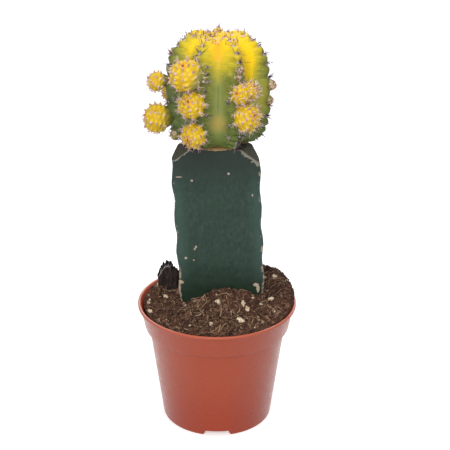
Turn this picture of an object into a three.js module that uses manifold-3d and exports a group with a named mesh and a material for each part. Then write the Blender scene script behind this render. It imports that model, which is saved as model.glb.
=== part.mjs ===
// A potted moon cactus: a ribbed yellow and green cactus ball (the scion) with round offsets on its
// rib crests, grafted on a three-ribbed climbing cactus stem (the rootstock), which stands in potting
// soil in a small plastic nursery pot.
// Millimetres, +Z up. The origin is on the surface that the pot stands on, at the pot's axis.
// The photograph looks along +Y. Azimuth 0 faces the viewer (-Y) and +90 degrees is +X.
import * as THREE from "three";
import { mergeVertices } from "three/addons/utils/BufferGeometryUtils.js";
import Module from "manifold-3d";

const wasm = await Module();
wasm.setup();

const GAP = 0.3; // clearance between pieces that touch
const DEG = Math.PI / 180;

// Pot: a tapered body under a wider band with a thin lip
const POT = {
  height: 51.2,
  rimRadius: 32.5,
  bodyTopRadius: 27.9,
  footRadius: 22.6,
  footEdge: 0.5,
  footRing: 2.8,
  wall: 1.0,
  bandHeight: 10.9,
  bandStep: 1.7,
  lipHeight: 1.2,
  lipStep: 1.0,
  floorUnder: 2.6,
  notches: 3,
  notchWidth: 9.3,
  notchHeight: 2.4,
  drains: 6,
  drainRadius: 2.6,
  drainCircle: 13,
  segments: 40,
};

// Soil: low at the front and left, heaped round the stem and over the rim at the back right
const SOIL = {
  edgeLevel: 49.5,
  edgeRadius: 29.7,
  mound: 10.5,
  moundReach: 17.5,
  moundX: 5.5,
  moundY: 2.5,
  heap: 6.2,
  heapAzimuth: 112,
  heapWidth: 54,
  heapFrom: 16,
  heapSpill: 2.2,
  roughness: 0.5,
  rings: 8,
  grains: 9,
  grainRadius: 1.5,
};

// Rootstock: a three-sided stem with one flat face to the viewer, a little wavy at its margins
const STOCK = {
  bottom: 22,
  top: 118.2,
  centreY: 6.3,
  leanFrom: 76,
  leanX: 1.1,
  leanSlope: -0.045,
  faceRadius: 10.9,
  hollowing: 0.8,
  cornerBlend: 0.8,
  wave: 0.45,
  wavePitch: 15,
  rootTaper: 0.25,
  bevelStart: 14.4,
  bevelSlope: 43,
  scarRadius: 1,
  around: 30,
  levels: 18,
};
// Each rib's azimuth, its reach from the stem's axis, and a height at which its margin swells
const STOCK_RIBS = [
  { azimuth: -60, reach: 19, swellsAt: 74 },
  { azimuth: 60, reach: 19, swellsAt: 78.5 },
  { azimuth: 180, reach: 17.4, swellsAt: 70 },
];

// Scion: a barrel-shaped ball on a flat graft, with an areole in each notch between two chins
const SCION = {
  axisX: 0.4,
  axisY: 5,
  base: STOCK.top + GAP,
  centreZ: 140.4,
  halfHeight: 22.6,
  radius: 20.2,
  ribs: 7,
  firstRib: 180 / 7,
  valleyDepth: 0.25,
  crestBlunt: 0.1,
  chin: 0.095,
  crownDip: 0.07,
  topPower: 2.8,
  basePower: 3.4,
  areoleTop: 80,
  areoleStep: 12,
  areoles: 12,
  acrossRib: 6,
};

// Spines of the scion and of the offsets
const SPINE = { radius: 0.3, length: 3.4, sunk: 0.7, sides: 3 };

// Offsets: azimuth and height of the crest that each grows from, its radius, and where its crown points
const OFFSETS = [
  { name: "offset_upper_left", azimuth: -30, height: 150.7, radius: 6.5, crown: [-28, 58] },
  { name: "offset_outer_left_small", azimuth: -77, height: 144.5, radius: 3.9, crown: [-82, 30] },
  { name: "offset_outer_left", azimuth: -77, height: 130.2, radius: 5.9, crown: [-84, 16] },
  { name: "offset_middle_left", azimuth: -23.6, height: 140.4, radius: 5.2, crown: [-16, 34] },
  { name: "offset_lower_left", azimuth: -23, height: 128.5, radius: 4.8, crown: [-28, -4] },
  { name: "offset_upper_right", azimuth: 21.5, height: 144.2, radius: 3.9, crown: [-30, 22], twin: 3.5 },
  { name: "offset_lower_right", azimuth: 26.6, height: 135.4, radius: 5.4, crown: [36, 24] },
  { name: "offset_back_right", azimuth: 137, height: 146.5, radius: 4.7, crown: [137, 34] },
  { name: "offset_back_right_low", azimuth: 130, height: 130.5, radius: 4, crown: [136, 14] },
  { name: "offset_back", azimuth: 179, height: 127.3, radius: 3.9, crown: [179, 4] },
  { name: "offset_back_left", azimuth: -131, height: 134.5, radius: 4.7, crown: [-136, 22] },
  { name: "offset_back_left_high", azimuth: -134, height: 149, radius: 3.4, crown: [-134, 40] },
];
const OFFSET = {
  ribs: 8,
  relief: 0.2,
  flatness: 0.84,
  standOut: 0.84,
  neckShare: 0.5,
  rows: 6,
  spineRadius: 0.26,
  spineLength: 1.5,
  spineRows: [50, 14],
};

// Buds on the scion that haven't become offsets yet
const BUDS = [
  { azimuth: 77, height: 143, radius: 1.9 },
  { azimuth: 78, height: 137.5, radius: 1.5 },
  { azimuth: -76, height: 122.7, radius: 2.1 },
  { azimuth: 24, height: 152.6, radius: 1.5 },
  { azimuth: 22, height: 149.8, radius: 1.2 },
];
const BUD = { ribs: 5, rows: 5, standOut: 0.5 };

// Bark: a split flake that stands in the soil beside the stem, as its outline seen from the front
const BARK = {
  x: -20.7,
  y: 12,
  turn: -14,
  thickness: 4.4,
  sunk: 3,
  outline: [
    [-3.7, 0],
    [-4.1, 6.6],
    [-4.4, 10.9],
    [-2, 12.6],
    [0.8, 15],
    [1.7, 13.4],
    [2.4, 12.2],
    [3.5, 12.6],
    [4.2, 11.2],
    [3.8, 0],
  ],
  roughness: 0.5,
};

// The same sequence of numbers from 0 to 1 each time, for a seed
function randomFrom(seed) {
  let state = seed >>> 0;
  return () => {
    state = (state + 0x6d2b79f5) >>> 0;
    let t = Math.imul(state ^ (state >>> 15), 1 | state);
    t = (t + Math.imul(t ^ (t >>> 7), 61 | t)) ^ t;
    return ((t ^ (t >>> 14)) >>> 0) / 4294967296;
  };
}

const smooth = (low, high, value) => THREE.MathUtils.smoothstep(value, low, high);

// A point at a distance from a vertical axis, with azimuth 0 towards the viewer
function polar(radius, azimuth, z, axisX = 0, axisY = 0) {
  return new THREE.Vector3(
    axisX + radius * Math.sin(azimuth),
    axisY - radius * Math.cos(azimuth),
    z,
  );
}

const azimuthOf = (x, y) => Math.atan2(x, -y);

// A three.js geometry stands on Y; the part stands on Z
const upright = (geometry) => geometry.rotateX(Math.PI / 2);

// Moves every vertex of a geometry by a rule
function reshape(geometry, rule) {
  const places = geometry.getAttribute("position");
  const point = new THREE.Vector3();
  for (let i = 0; i < places.count; i++) {
    const moved = rule(point.fromBufferAttribute(places, i));
    places.setXYZ(i, moved.x, moved.y, moved.z);
  }
  return geometry;
}

// A closed geometry as a solid for boolean work
function solid(geometry) {
  const bare = geometry.clone();
  bare.deleteAttribute("normal");
  bare.deleteAttribute("uv");
  const merged = mergeVertices(bare, 1e-4);
  const corners = merged.index.array;
  const kept = [];
  for (let i = 0; i < corners.length; i += 3) {
    const [a, b, c] = corners.subarray(i, i + 3);
    if (a !== b && b !== c && c !== a) kept.push(a, b, c);
  }
  return new wasm.Manifold(
    new wasm.Mesh({
      numProp: 3,
      vertProperties: merged.getAttribute("position").array,
      triVerts: new Uint32Array(kept),
    }),
  );
}

// A solid back as a three.js geometry
function geometryOf(body) {
  const mesh = body.getMesh();
  const geometry = new THREE.BufferGeometry();
  geometry.setAttribute("position", new THREE.BufferAttribute(mesh.vertProperties, 3));
  geometry.setIndex(new THREE.BufferAttribute(mesh.triVerts, 1));
  geometry.computeVertexNormals();
  return geometry;
}

const joined = (bodies) => bodies.reduce((whole, body) => whole.add(body));

// Turns a geometry that stands on Y, so that it points another way
function pointed(geometry, direction) {
  const up = new THREE.Vector3(0, 1, 0);
  return geometry.applyQuaternion(new THREE.Quaternion().setFromUnitVectors(up, direction));
}

const bandBottom = POT.height - POT.bandHeight;

// The radius of the tapered body of the pot at a height, less an inset
function potRadius(z, inset) {
  return THREE.MathUtils.lerp(POT.footRadius, POT.bodyTopRadius, z / bandBottom) - inset;
}

// Pot
function makePot() {
  const { height, rimRadius, footRadius, wall, lipHeight, lipStep, floorUnder } = POT;
  const bandRadius = POT.bodyTopRadius + POT.bandStep;
  const ringInside = footRadius - POT.footRing;
  const floorTop = floorUnder + wall;
  const profile = [
    [0, floorUnder],
    [ringInside - 0.6, floorUnder],
    [ringInside, 0],
    [footRadius - POT.footEdge, 0],
    [footRadius, POT.footEdge],
    [POT.bodyTopRadius, bandBottom - 0.6],
    [bandRadius, bandBottom + 0.5],
    [rimRadius - lipStep, height - lipHeight - 0.5],
    [rimRadius, height - lipHeight],
    [rimRadius, height - 0.3],
    [rimRadius - 0.4, height],
    [rimRadius - 1.2, height - 0.1],
    [rimRadius - lipStep - wall, height - lipHeight - 0.6],
    [bandRadius - wall, bandBottom + 0.7],
    [POT.bodyTopRadius - wall, bandBottom - 0.6],
    [potRadius(floorTop + 1.5, wall), floorTop + 1.5],
    [potRadius(floorTop + 1.5, wall) - 1.4, floorTop],
    [0, floorTop],
  ].map(([radius, z]) => new THREE.Vector2(radius, z));
  let body = solid(upright(new THREE.LatheGeometry(profile, POT.segments)));
  for (let i = 0; i < POT.notches; i++) {
    const azimuth = (i * 2 * Math.PI) / POT.notches;
    const notch = new THREE.BoxGeometry(POT.notchWidth, 4 * POT.footRing, 2 * POT.notchHeight);
    const place = polar(footRadius, azimuth, 0);
    notch.rotateZ(azimuth).translate(place.x, place.y, place.z);
    body = body.subtract(solid(notch));
  }
  for (let i = 0; i < POT.drains; i++) {
    const azimuth = ((i + 0.5) * 2 * Math.PI) / POT.drains;
    const hole = upright(new THREE.CylinderGeometry(POT.drainRadius, POT.drainRadius, 6, 12));
    const place = polar(POT.drainCircle, azimuth, floorUnder);
    body = body.subtract(solid(hole.translate(place.x, place.y, place.z)));
  }
  return body;
}

// How much of the heap at the back right there is in a direction, from 0 to 1
function heapShare(azimuth) {
  const off = THREE.MathUtils.euclideanModulo(azimuth / DEG - SOIL.heapAzimuth + 180, 360) - 180;
  return Math.exp(-((off / SOIL.heapWidth) ** 2));
}

// The height of the soil's surface
function soilHeight(x, y) {
  const fromMound = Math.hypot(x - SOIL.moundX, y - SOIL.moundY) / SOIL.moundReach;
  const mound = SOIL.mound * Math.exp(-(fromMound ** 2));
  const heap = SOIL.heap * heapShare(azimuthOf(x, y)) * smooth(SOIL.heapFrom, 28, Math.hypot(x, y));
  const crumbs = Math.sin(1.27 * x + 0.6 * y) * Math.sin(1.13 * y - 0.4 * x + 0.7);
  return SOIL.edgeLevel + mound + heap + SOIL.roughness * crumbs;
}

function makeSoil(keepOut) {
  const floor = POT.floorUnder + POT.wall + GAP;
  const inset = POT.wall + GAP;
  const rimTop = POT.height + GAP;
  const { edgeLevel, edgeRadius } = SOIL;
  const side = [
    [0, floor],
    [potRadius(floor, inset) - 1.6, floor],
    [potRadius(floor + 1.6, inset), floor + 1.6],
    [POT.bodyTopRadius - inset, bandBottom - 0.9],
    [POT.bodyTopRadius - inset + POT.bandStep, bandBottom + 0.9],
    [edgeRadius, edgeLevel - 2],
    [edgeRadius + 0.3, edgeLevel - 1],
  ];
  const top = Array.from({ length: SOIL.rings }, (_, i) => {
    return [(edgeRadius + 0.3) * Math.sqrt(1 - i / (SOIL.rings - 1)), edgeLevel];
  });
  const profile = [...side, ...top].map(([radius, z]) => new THREE.Vector2(radius, z));
  const heap = reshape(upright(new THREE.LatheGeometry(profile, POT.segments)), (p) => {
    if (p.z < edgeLevel - 1.5) return p;
    const radius = Math.hypot(p.x, p.y);
    const share = heapShare(azimuthOf(p.x, p.y));
    const atEdge = smooth(0.97, 1, radius / edgeRadius);
    if (p.z < edgeLevel - 0.5) {
      p.z = Math.min(soilHeight(p.x, p.y) - 0.6, rimTop);
      return p;
    }
    p.z = soilHeight(p.x, p.y) - 1.6 * atEdge * share;
    const spill = 1 + (SOIL.heapSpill * share * atEdge) / edgeRadius;
    return p.setX(p.x * spill).setY(p.y * spill);
  });
  const random = randomFrom(5);
  const grains = [];
  while (grains.length < SOIL.grains) {
    const place = polar(6 + 21 * random(), 2 * Math.PI * random(), 0);
    const radius = SOIL.grainRadius * (0.6 + 0.5 * random());
    if (Math.hypot(place.x, place.y - STOCK.centreY) < STOCK_RIBS[0].reach + radius) continue;
    const grain = new THREE.IcosahedronGeometry(radius, 0);
    grain.scale(1, 0.8 + 0.4 * random(), 0.8).rotateZ(Math.PI * random());
    grain.translate(place.x, place.y, soilHeight(place.x, place.y) + 0.1 * radius);
    grains.push(solid(grain));
  }
  const whole = joined([solid(heap), ...grains]);
  return keepOut.reduce((rest, body) => rest.subtract(body), whole);
}

// The stem's radius round its own axis: a triangle with blunt corners and slightly hollow faces
function stockRadius(azimuth, z) {
  const third = (2 * Math.PI) / 3;
  const turned = azimuth + third / 2;
  const nearest = Math.round(turned / third - 1e-9); // one answer on both sides of the seam
  const fromRib = Math.abs(turned - nearest * third);
  const rib = STOCK_RIBS[THREE.MathUtils.euclideanModulo(nearest, 3)];
  const wave = STOCK.wave * Math.cos((2 * Math.PI * (z - rib.swellsAt)) / STOCK.wavePitch);
  const reach = rib.reach + wave + STOCK.cornerBlend;
  const straight = STOCK.faceRadius / Math.cos(third / 2 - fromRib);
  const blunt = -STOCK.cornerBlend * Math.log(
    Math.exp(-straight / STOCK.cornerBlend) + Math.exp(-reach / STOCK.cornerBlend),
  );
  const hollow = STOCK.hollowing * Math.sin((Math.PI * fromRib) / third) ** 2;
  const root = 1 - STOCK.rootTaper * (1 - smooth(STOCK.bottom, 46, z));
  return (blunt - hollow) * root;
}

const stockAxisX = (z) => STOCK.leanX + STOCK.leanSlope * (z - STOCK.leanFrom);

function makeStock(swell) {
  const height = STOCK.top - STOCK.bottom;
  const round = upright(new THREE.CylinderGeometry(1, 1, height, STOCK.around, STOCK.levels));
  const shaped = reshape(round, (p) => {
    const z = p.z + STOCK.bottom + height / 2;
    const even = azimuthOf(p.x, p.y);
    const azimuth = even + 0.17 * Math.sin(3 * even);
    const radius = Math.hypot(p.x, p.y) < 0.5 ? 0 : stockRadius(azimuth, z) + swell;
    return polar(radius, azimuth, z, stockAxisX(z), STOCK.centreY);
  });
  let body = solid(shaped);
  for (const rib of STOCK_RIBS) {
    const azimuth = rib.azimuth * DEG;
    const start = STOCK.bevelStart + rib.reach - STOCK_RIBS[0].reach;
    const knife = new THREE.BoxGeometry(30, 20, 10).translate(0, 0, 5);
    knife.rotateX(STOCK.bevelSlope * DEG).rotateZ(azimuth);
    const edge = polar(start, azimuth, STOCK.top, stockAxisX(STOCK.top), STOCK.centreY);
    body = body.subtract(solid(knife.translate(edge.x, edge.y, edge.z + swell)));
    const firstNotch = rib.swellsAt - STOCK.wavePitch / 2;
    for (let z = firstNotch; z < STOCK.top - 8; z += STOCK.wavePitch) {
      const scar = new THREE.OctahedronGeometry(STOCK.scarRadius + swell).scale(1, 1, 1.4);
      const place = polar(stockRadius(azimuth, z) - 0.5, azimuth, z, stockAxisX(z), STOCK.centreY);
      body = body.add(solid(scar.translate(place.x, place.y, place.z)));
    }
  }
  return body;
}

// The latitude of one areole on a rib, counted from the crown
const areoleLatitude = (index) => SCION.areoleTop - SCION.areoleStep * index;

// The scion's surface at an azimuth and latitude, swollen by a clearance
function scionPoint(azimuth, latitude, swell = 0) {
  const power = latitude > 0 ? SCION.topPower : SCION.basePower;
  const across = Math.abs(Math.cos(latitude)) ** (2 / power);
  const up = Math.sign(latitude) * Math.abs(Math.sin(latitude)) ** (2 / power);
  const period = (2 * Math.PI) / SCION.ribs;
  const turned = (azimuth - SCION.firstRib * DEG) / period;
  const offCrest = 2 * Math.abs(turned - Math.round(turned));
  const blunt = SCION.crestBlunt;
  const fromCrest = (Math.hypot(offCrest, blunt) - blunt) / (Math.hypot(1, blunt) - blunt);
  const valley = SCION.valleyDepth * Math.sin((Math.PI / 2) * fromCrest) * Math.cos(latitude) ** 0.6;
  const belowAreole = THREE.MathUtils.euclideanModulo(
    (SCION.areoleTop - latitude / DEG) / SCION.areoleStep + 1e-6,
    1,
  );
  const bulge = Math.sin(Math.PI * belowAreole ** 0.75) - 0.55;
  const chin = SCION.chin * bulge * (1 - smooth(0, 0.5, fromCrest)) * Math.cos(latitude) ** 0.4;
  const dip = SCION.crownDip * Math.exp(-(((Math.PI / 2 - latitude) / 0.34) ** 2));
  const radius = SCION.radius * across * (1 - valley + chin - dip);
  const rise = SCION.halfHeight * up * (1 - dip + 0.5 * chin - 0.35 * valley * up * up);
  const point = polar(
    radius + swell * Math.cos(latitude),
    azimuth,
    SCION.centreZ + rise + swell * Math.sin(latitude),
    SCION.axisX,
    SCION.axisY,
  );
  point.z = Math.max(point.z, SCION.base);
  return point;
}

// The latitude at which the crest of a rib reaches a height
function latitudeAt(height) {
  let [low, high] = [-80 * DEG, 80 * DEG];
  for (let i = 0; i < 30; i++) {
    const middle = (low + high) / 2;
    if (scionPoint(SCION.firstRib * DEG, middle).z < height) low = middle;
    else high = middle;
  }
  return low;
}

// A direction from its azimuth and its angle above the horizontal
const outward = (azimuth, lift) => polar(Math.cos(lift), azimuth, Math.sin(lift));

// A thin needle from a root point, sunk into what it grows from
function needle(root, direction, length, radius) {
  const whole = length + SPINE.sunk;
  const cone = new THREE.ConeGeometry(radius, whole, SPINE.sides).translate(0, whole / 2 - SPINE.sunk, 0);
  return pointed(cone, direction).translate(root.x, root.y, root.z);
}

// True where a needle stays out of a list of balls
function clearOf(balls, root, direction, length) {
  return [0.35, 0.7, 1].every((share) => {
    const point = root.clone().addScaledVector(direction, length * share);
    return balls.every((ball) => point.distanceTo(ball.centre) > ball.radius + 0.9);
  });
}

// A ribbed ball's surface round a centre, at an azimuth and latitude about its own crown
function ballSurface(ball, ribs) {
  const up = new THREE.Vector3(0, 0, 1);
  const turn = new THREE.Quaternion().setFromUnitVectors(up, ball.crown);
  return (azimuth, latitude) => {
    const crest = 0.5 + 0.5 * Math.cos(ribs * azimuth);
    const relief = 1 + OFFSET.relief * (crest - 0.8) * Math.cos(latitude) ** 0.7;
    const point = polar(Math.cos(latitude) * relief, azimuth, Math.sin(latitude) * OFFSET.flatness);
    return point.multiplyScalar(ball.radius).applyQuaternion(turn).add(ball.centre);
  };
}

function ballBody(ball, ribs, rows) {
  const surface = ballSurface(ball, ribs);
  const sphere = upright(new THREE.SphereGeometry(1, ribs * 2, rows));
  return solid(reshape(sphere, (p) => {
    return surface(azimuthOf(p.x, p.y), Math.asin(THREE.MathUtils.clamp(p.z, -1, 1)));
  }));
}

// Where a ball sits on its rib's crest, and which way it leaves it
function seated({ azimuth: degrees, height, radius, crown, ...rest }, standOut) {
  const azimuth = degrees * DEG;
  const latitude = latitudeAt(height);
  const seat = scionPoint(azimuth, latitude);
  const away = outward(azimuth, latitude * 0.25);
  const centre = seat.clone().addScaledVector(away, radius * standOut);
  const facing = crown ? outward(crown[0] * DEG, crown[1] * DEG) : away;
  return { ...rest, radius, away, centre, crown: facing };
}

const offsets = OFFSETS.map((offset) => seated(offset, OFFSET.standOut));
const buds = BUDS.map((bud) => seated(bud, BUD.standOut));

// The second head of a double offset, beside the first and a little higher
function twinOf(offset) {
  const centre = offset.centre.clone().add(new THREE.Vector3(offset.twin, 0.8, 1.4));
  const radius = offset.radius * 0.85;
  return { ...offset, centre, radius, crown: outward(40 * DEG, 46 * DEG), twin: 0 };
}

const twins = offsets.filter((offset) => offset.twin).map(twinOf);

function scionBody(swell) {
  const rows = [90, 85];
  for (let i = 0; i < SCION.areoles; i++) {
    rows.push(areoleLatitude(i), areoleLatitude(i) - 0.4 * SCION.areoleStep);
  }
  rows.push(-70, -90);
  const steps = rows.length - 1;
  const around = SCION.ribs * SCION.acrossRib;
  const sphere = upright(new THREE.SphereGeometry(1, around, steps));
  return solid(reshape(sphere, (p) => {
    const row = Math.round((Math.acos(THREE.MathUtils.clamp(p.z, -1, 1)) / Math.PI) * steps);
    const azimuth = azimuthOf(p.x, p.y) + SCION.firstRib * DEG - Math.PI / 2;
    const atPole = row === 0 || row === steps;
    const point = scionPoint(azimuth, rows[row] * DEG, swell);
    return atPole ? point.setX(SCION.axisX).setY(SCION.axisY) : point;
  }));
}

function makeScion() {
  const random = randomFrom(7);
  const needles = [];
  for (let rib = 0; rib < SCION.ribs; rib++) {
    const azimuth = (SCION.firstRib + (360 / SCION.ribs) * rib) * DEG;
    for (let i = 0; i < SCION.areoles; i++) {
      const latitude = areoleLatitude(i) * DEG;
      const root = scionPoint(azimuth, latitude);
      if (root.z < SCION.base + 1.5) continue;
      for (const side of i % 2 ? [-1, 1] : [rib % 2 ? -1 : 1]) {
        const lift = latitude * 0.8 + (0.5 * random() - 0.1);
        const direction = outward(azimuth + side * (0.35 + 0.35 * random()), lift);
        const length = SPINE.length * (0.75 + 0.4 * random());
        if (!clearOf([...offsets, ...twins], root, direction, length)) continue;
        needles.push(solid(needle(root, direction, length, SPINE.radius)));
      }
    }
  }
  const knobs = buds.map((bud) => ballBody(bud, BUD.ribs, BUD.rows));
  return joined([scionBody(0), ...knobs, ...needles]);
}

// The spines on the rib crests of one head of an offset
function offsetNeedles(head, others, random) {
  const surface = ballSurface(head, OFFSET.ribs);
  const needles = [];
  for (const [row, degrees] of OFFSET.spineRows.entries()) {
    for (let i = 0; i < OFFSET.ribs; i += row + 1) {
      const latitude = (degrees + 8 * (random() - 0.5)) * DEG;
      const root = surface((2 * Math.PI * i) / OFFSET.ribs, latitude);
      const direction = root.clone().sub(head.centre).normalize();
      direction.addScaledVector(head.crown, 0.25).normalize();
      const length = OFFSET.spineLength * (0.8 + 0.5 * random());
      if (direction.dot(head.away) < -0.2) continue;
      if (!clearOf(others, root, direction, length)) continue;
      needles.push(solid(needle(root, direction, length, OFFSET.spineRadius)));
    }
  }
  return needles;
}

// A small ribbed ball, or two grown together, on a short neck
function makeOffset(offset, seat) {
  const heads = offset.twin ? [offset, twinOf(offset)] : [offset];
  const others = offsets.filter((other) => other !== offset);
  if (!offset.twin) others.push(...twins);
  const neckRadius = offset.radius * OFFSET.neckShare;
  const neckLength = offset.radius + 2;
  const neck = new THREE.CylinderGeometry(neckRadius, neckRadius * 1.1, neckLength, 8);
  neck.translate(0, -neckLength / 2, 0);
  const { x, y, z } = offset.centre;
  const random = randomFrom(Math.round(z * 10));
  const whole = joined([
    solid(pointed(neck, offset.away).translate(x, y, z)),
    ...heads.map((head) => ballBody(head, OFFSET.ribs, OFFSET.rows)),
    ...heads.flatMap((head) => offsetNeedles(head, others, random)),
  ]);
  return whole.subtract(seat);
}

// The bark flake, swollen by a clearance
function barkPiece(swell) {
  const random = randomFrom(11);
  const outline = new THREE.Shape(BARK.outline.map(([x, z]) => new THREE.Vector2(x, z)));
  const flake = new THREE.ExtrudeGeometry(outline, { depth: BARK.thickness, bevelEnabled: false });
  flake.translate(0, 0, -BARK.thickness / 2).rotateX(Math.PI / 2);
  const height = Math.max(...BARK.outline.map(([, z]) => z));
  const halfWidth = Math.max(...BARK.outline.map(([x]) => x));
  const moves = new Map();
  reshape(flake, (p) => {
    const corner = p.toArray().map((value) => value.toFixed(3)).join(" ");
    if (!moves.has(corner)) {
      moves.set(corner, new THREE.Vector3(random() - 0.5, random() - 0.5, random() - 0.5));
    }
    const thinner = 1 - (0.45 * p.z) / height;
    return p.setY(p.y * thinner).addScaledVector(moves.get(corner), 2 * BARK.roughness);
  });
  flake.translate(0, 0, -height / 2);
  flake.scale(1 + swell / halfWidth, 1 + (2 * swell) / BARK.thickness, 1 + (2 * swell) / height);
  flake.rotateZ(BARK.turn * DEG);
  const z = soilHeight(BARK.x, BARK.y) - BARK.sunk + height / 2;
  return solid(flake.translate(BARK.x, BARK.y, z));
}

const FINISHES = {
  pot: { color: 0xb4583c, roughness: 0.45 },
  soil: { color: 0x4a3226, roughness: 1 },
  bark: { color: 0x1d1614, roughness: 0.9 },
  stock: { color: 0x2c4438, roughness: 0.55 },
  scion: { color: 0x8f9a3a, roughness: 0.5 },
  offset: { color: 0xe8cf24, roughness: 0.5 },
};

function piece(name, body, finish) {
  const material = new THREE.MeshStandardMaterial({ metalness: 0, ...FINISHES[finish] });
  const mesh = new THREE.Mesh(geometryOf(body), material);
  mesh.name = name;
  return mesh;
}

const plant = new THREE.Group();
plant.add(piece("pot", makePot(), "pot"));
plant.add(piece("soil", makeSoil([makeStock(GAP), barkPiece(GAP)]), "soil"));
plant.add(piece("bark_piece", barkPiece(0), "bark"));
plant.add(piece("rootstock", makeStock(0), "stock"));
plant.add(piece("scion", makeScion(), "scion"));
const seat = scionBody(GAP);
for (const offset of offsets) {
  plant.add(piece(offset.name, makeOffset(offset, seat), "offset"));
}

export default plant;
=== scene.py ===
# %% [markdown]
# # A potted moon cactus
#
# A moon cactus is two plants grown into one. A ribbed ball, the scion, has too little green in it to feed
# itself, so a grower grafts it on a short length of green climbing cactus, the rootstock. Round offsets
# sprout on the ball's ribs. This lesson dresses the solid model of such a plant with fine skins, wool,
# spines and soil.
#
# The solid model comes first. It is the fixed frame: every piece below is shaped in millimetres by the same
# sizes as its solid, and is then brought to metres, where it stands in for that solid.

# %% The frame
import math
import random
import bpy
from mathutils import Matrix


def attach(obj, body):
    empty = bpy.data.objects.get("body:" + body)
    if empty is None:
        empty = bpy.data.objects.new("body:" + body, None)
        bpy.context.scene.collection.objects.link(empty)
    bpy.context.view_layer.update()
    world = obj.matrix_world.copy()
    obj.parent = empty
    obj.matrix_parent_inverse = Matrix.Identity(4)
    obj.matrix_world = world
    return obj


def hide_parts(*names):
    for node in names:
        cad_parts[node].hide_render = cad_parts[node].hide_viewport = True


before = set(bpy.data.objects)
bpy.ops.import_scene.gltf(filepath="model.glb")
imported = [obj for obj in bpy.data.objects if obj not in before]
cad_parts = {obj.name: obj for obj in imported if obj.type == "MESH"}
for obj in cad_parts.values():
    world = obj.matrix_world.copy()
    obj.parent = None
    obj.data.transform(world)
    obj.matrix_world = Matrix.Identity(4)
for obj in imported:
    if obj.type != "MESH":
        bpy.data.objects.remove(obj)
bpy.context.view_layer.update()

from types import SimpleNamespace as Sizes

import bmesh
import bpy
from mathutils import Matrix, Quaternion, Vector, noise
from mathutils.kdtree import KDTree

MM = 0.001  # one millimetre, in the frame's metres
SAME_PLACE = 0.001  # mm: points closer than this are one point

# %% [markdown]
# ## The camera, the light and the floor
#
# The photograph was taken from a little above with a long lens. The lens, the distance and the tilt below
# follow from the pot's lip, which is an ellipse in the picture, and from its height. A small sideways shift
# of the picture keeps the pot as far left of the middle as it is in the photograph.
#
# The light is a studio's: a large soft lamp in front and a little above, one overhead, a weaker one behind,
# and a white room. A photographer's white walls and table are lit harder than the object, so the room is
# brighter in reflections, where it draws the pale edges of the pot, than it is as a light.

# %% The camera
PICTURE = 450  # the picture's side, in pixels
FOCAL = 1224  # the lens, in pixels of that picture
POT_LEFT_OF_MIDDLE = 8  # pixels
SENSOR = 36  # mm, Blender's usual film width
CAMERA_PLACE = (0, -0.450, 0.2795)  # metres
LOOKS_DOWN = 23.4  # degrees

camera = bpy.data.objects.new("camera", bpy.data.cameras.new("camera"))
camera.data.sensor_fit = "HORIZONTAL"
camera.data.sensor_width = SENSOR
camera.data.lens = SENSOR * FOCAL / PICTURE
camera.data.shift_x = POT_LEFT_OF_MIDDLE / PICTURE
camera.data.clip_start = 0.01
camera.location = CAMERA_PLACE
camera.rotation_euler = (math.radians(90 - LOOKS_DOWN), 0, 0)
bpy.context.scene.collection.objects.link(camera)
bpy.context.scene.camera = camera
print("lens:", round(camera.data.lens, 1), "mm")

# %% [markdown]
# The room is plain and white all round. Real walls could be built, but one colour with three strengths does:
# one as light, one in reflections, and one where it is seen behind the plant. The light path tells which of
# them a ray asks for.

# %% The room
COOL_WHITE = (0.965, 0.98, 1, 1)
AS_LIGHT = 0.5  # the room's strength as a light, in reflections and behind the plant
IN_REFLECTIONS = 0.95
IN_VIEW = 1.1

scene = bpy.context.scene
scene.view_settings.view_transform = "Standard"
room = bpy.data.worlds.new("white_room")
room.use_nodes = True
walls = room.node_tree.nodes["Background"]
walls.inputs["Color"].default_value = COOL_WHITE
rays = room.node_tree.nodes.new("ShaderNodeLightPath")
strength = room.node_tree.nodes.new("ShaderNodeValue").outputs[0]
strength.default_value = AS_LIGHT
for ray, seen_at in (("Is Glossy Ray", IN_REFLECTIONS), ("Is Camera Ray", IN_VIEW)):
    chosen = room.node_tree.nodes.new("ShaderNodeMix")
    chosen.inputs[3].default_value = seen_at
    room.node_tree.links.new(rays.outputs[ray], chosen.inputs[0])
    room.node_tree.links.new(strength, chosen.inputs[2])
    strength = chosen.outputs[0]
room.node_tree.links.new(strength, walls.inputs["Strength"])
scene.world = room
print("room:", room.name)

# %% [markdown]
# The lamps are square area lamps, which give shadows as soft as a studio's light boxes do. Each is turned to
# the middle of the plant.

# %% The lamps
LIT = Vector((0, 0, 0.09))  # metres: the lamps aim at the middle of the plant
LAMPS = [  # name, place in metres, width in metres, watts
    ("key_lamp", (-0.12, -1.00, 0.62), 0.60, 10),
    ("top_lamp", (0.05, -0.05, 1.10), 0.70, 4.5),
    ("back_lamp", (0.12, 0.95, 0.50), 0.60, 4),
]
for name, place, width, watts in LAMPS:
    lamp = bpy.data.objects.new(name, bpy.data.lights.new(name, "AREA"))
    lamp.data.size = width
    lamp.data.energy = watts
    lamp.location = place
    lamp.rotation_euler = (LIT - Vector(place)).to_track_quat("-Z", "Y").to_euler()
    scene.collection.objects.link(lamp)
print("lamps:", len(LAMPS))

# %% [markdown]
# ## Small tools of the trade
#
# The shapes use the same three or four sums again and again: a soft step, a point at a distance from an
# upright axis, and a natural unevenness. Azimuth 0 faces the viewer, and +90 degrees is to the right.
#
# Blender takes the seed of its vector noise from the clock. A seed is set here, so that each run gives the
# same plant.

# %% Sums for shapes
NOISE_SEED = 1795888417

noise.seed_set(NOISE_SEED)


def smooth(low, high, value):
    share = min(1.0, max(0.0, (value - low) / (high - low)))
    return share * share * (3 - 2 * share)


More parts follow.
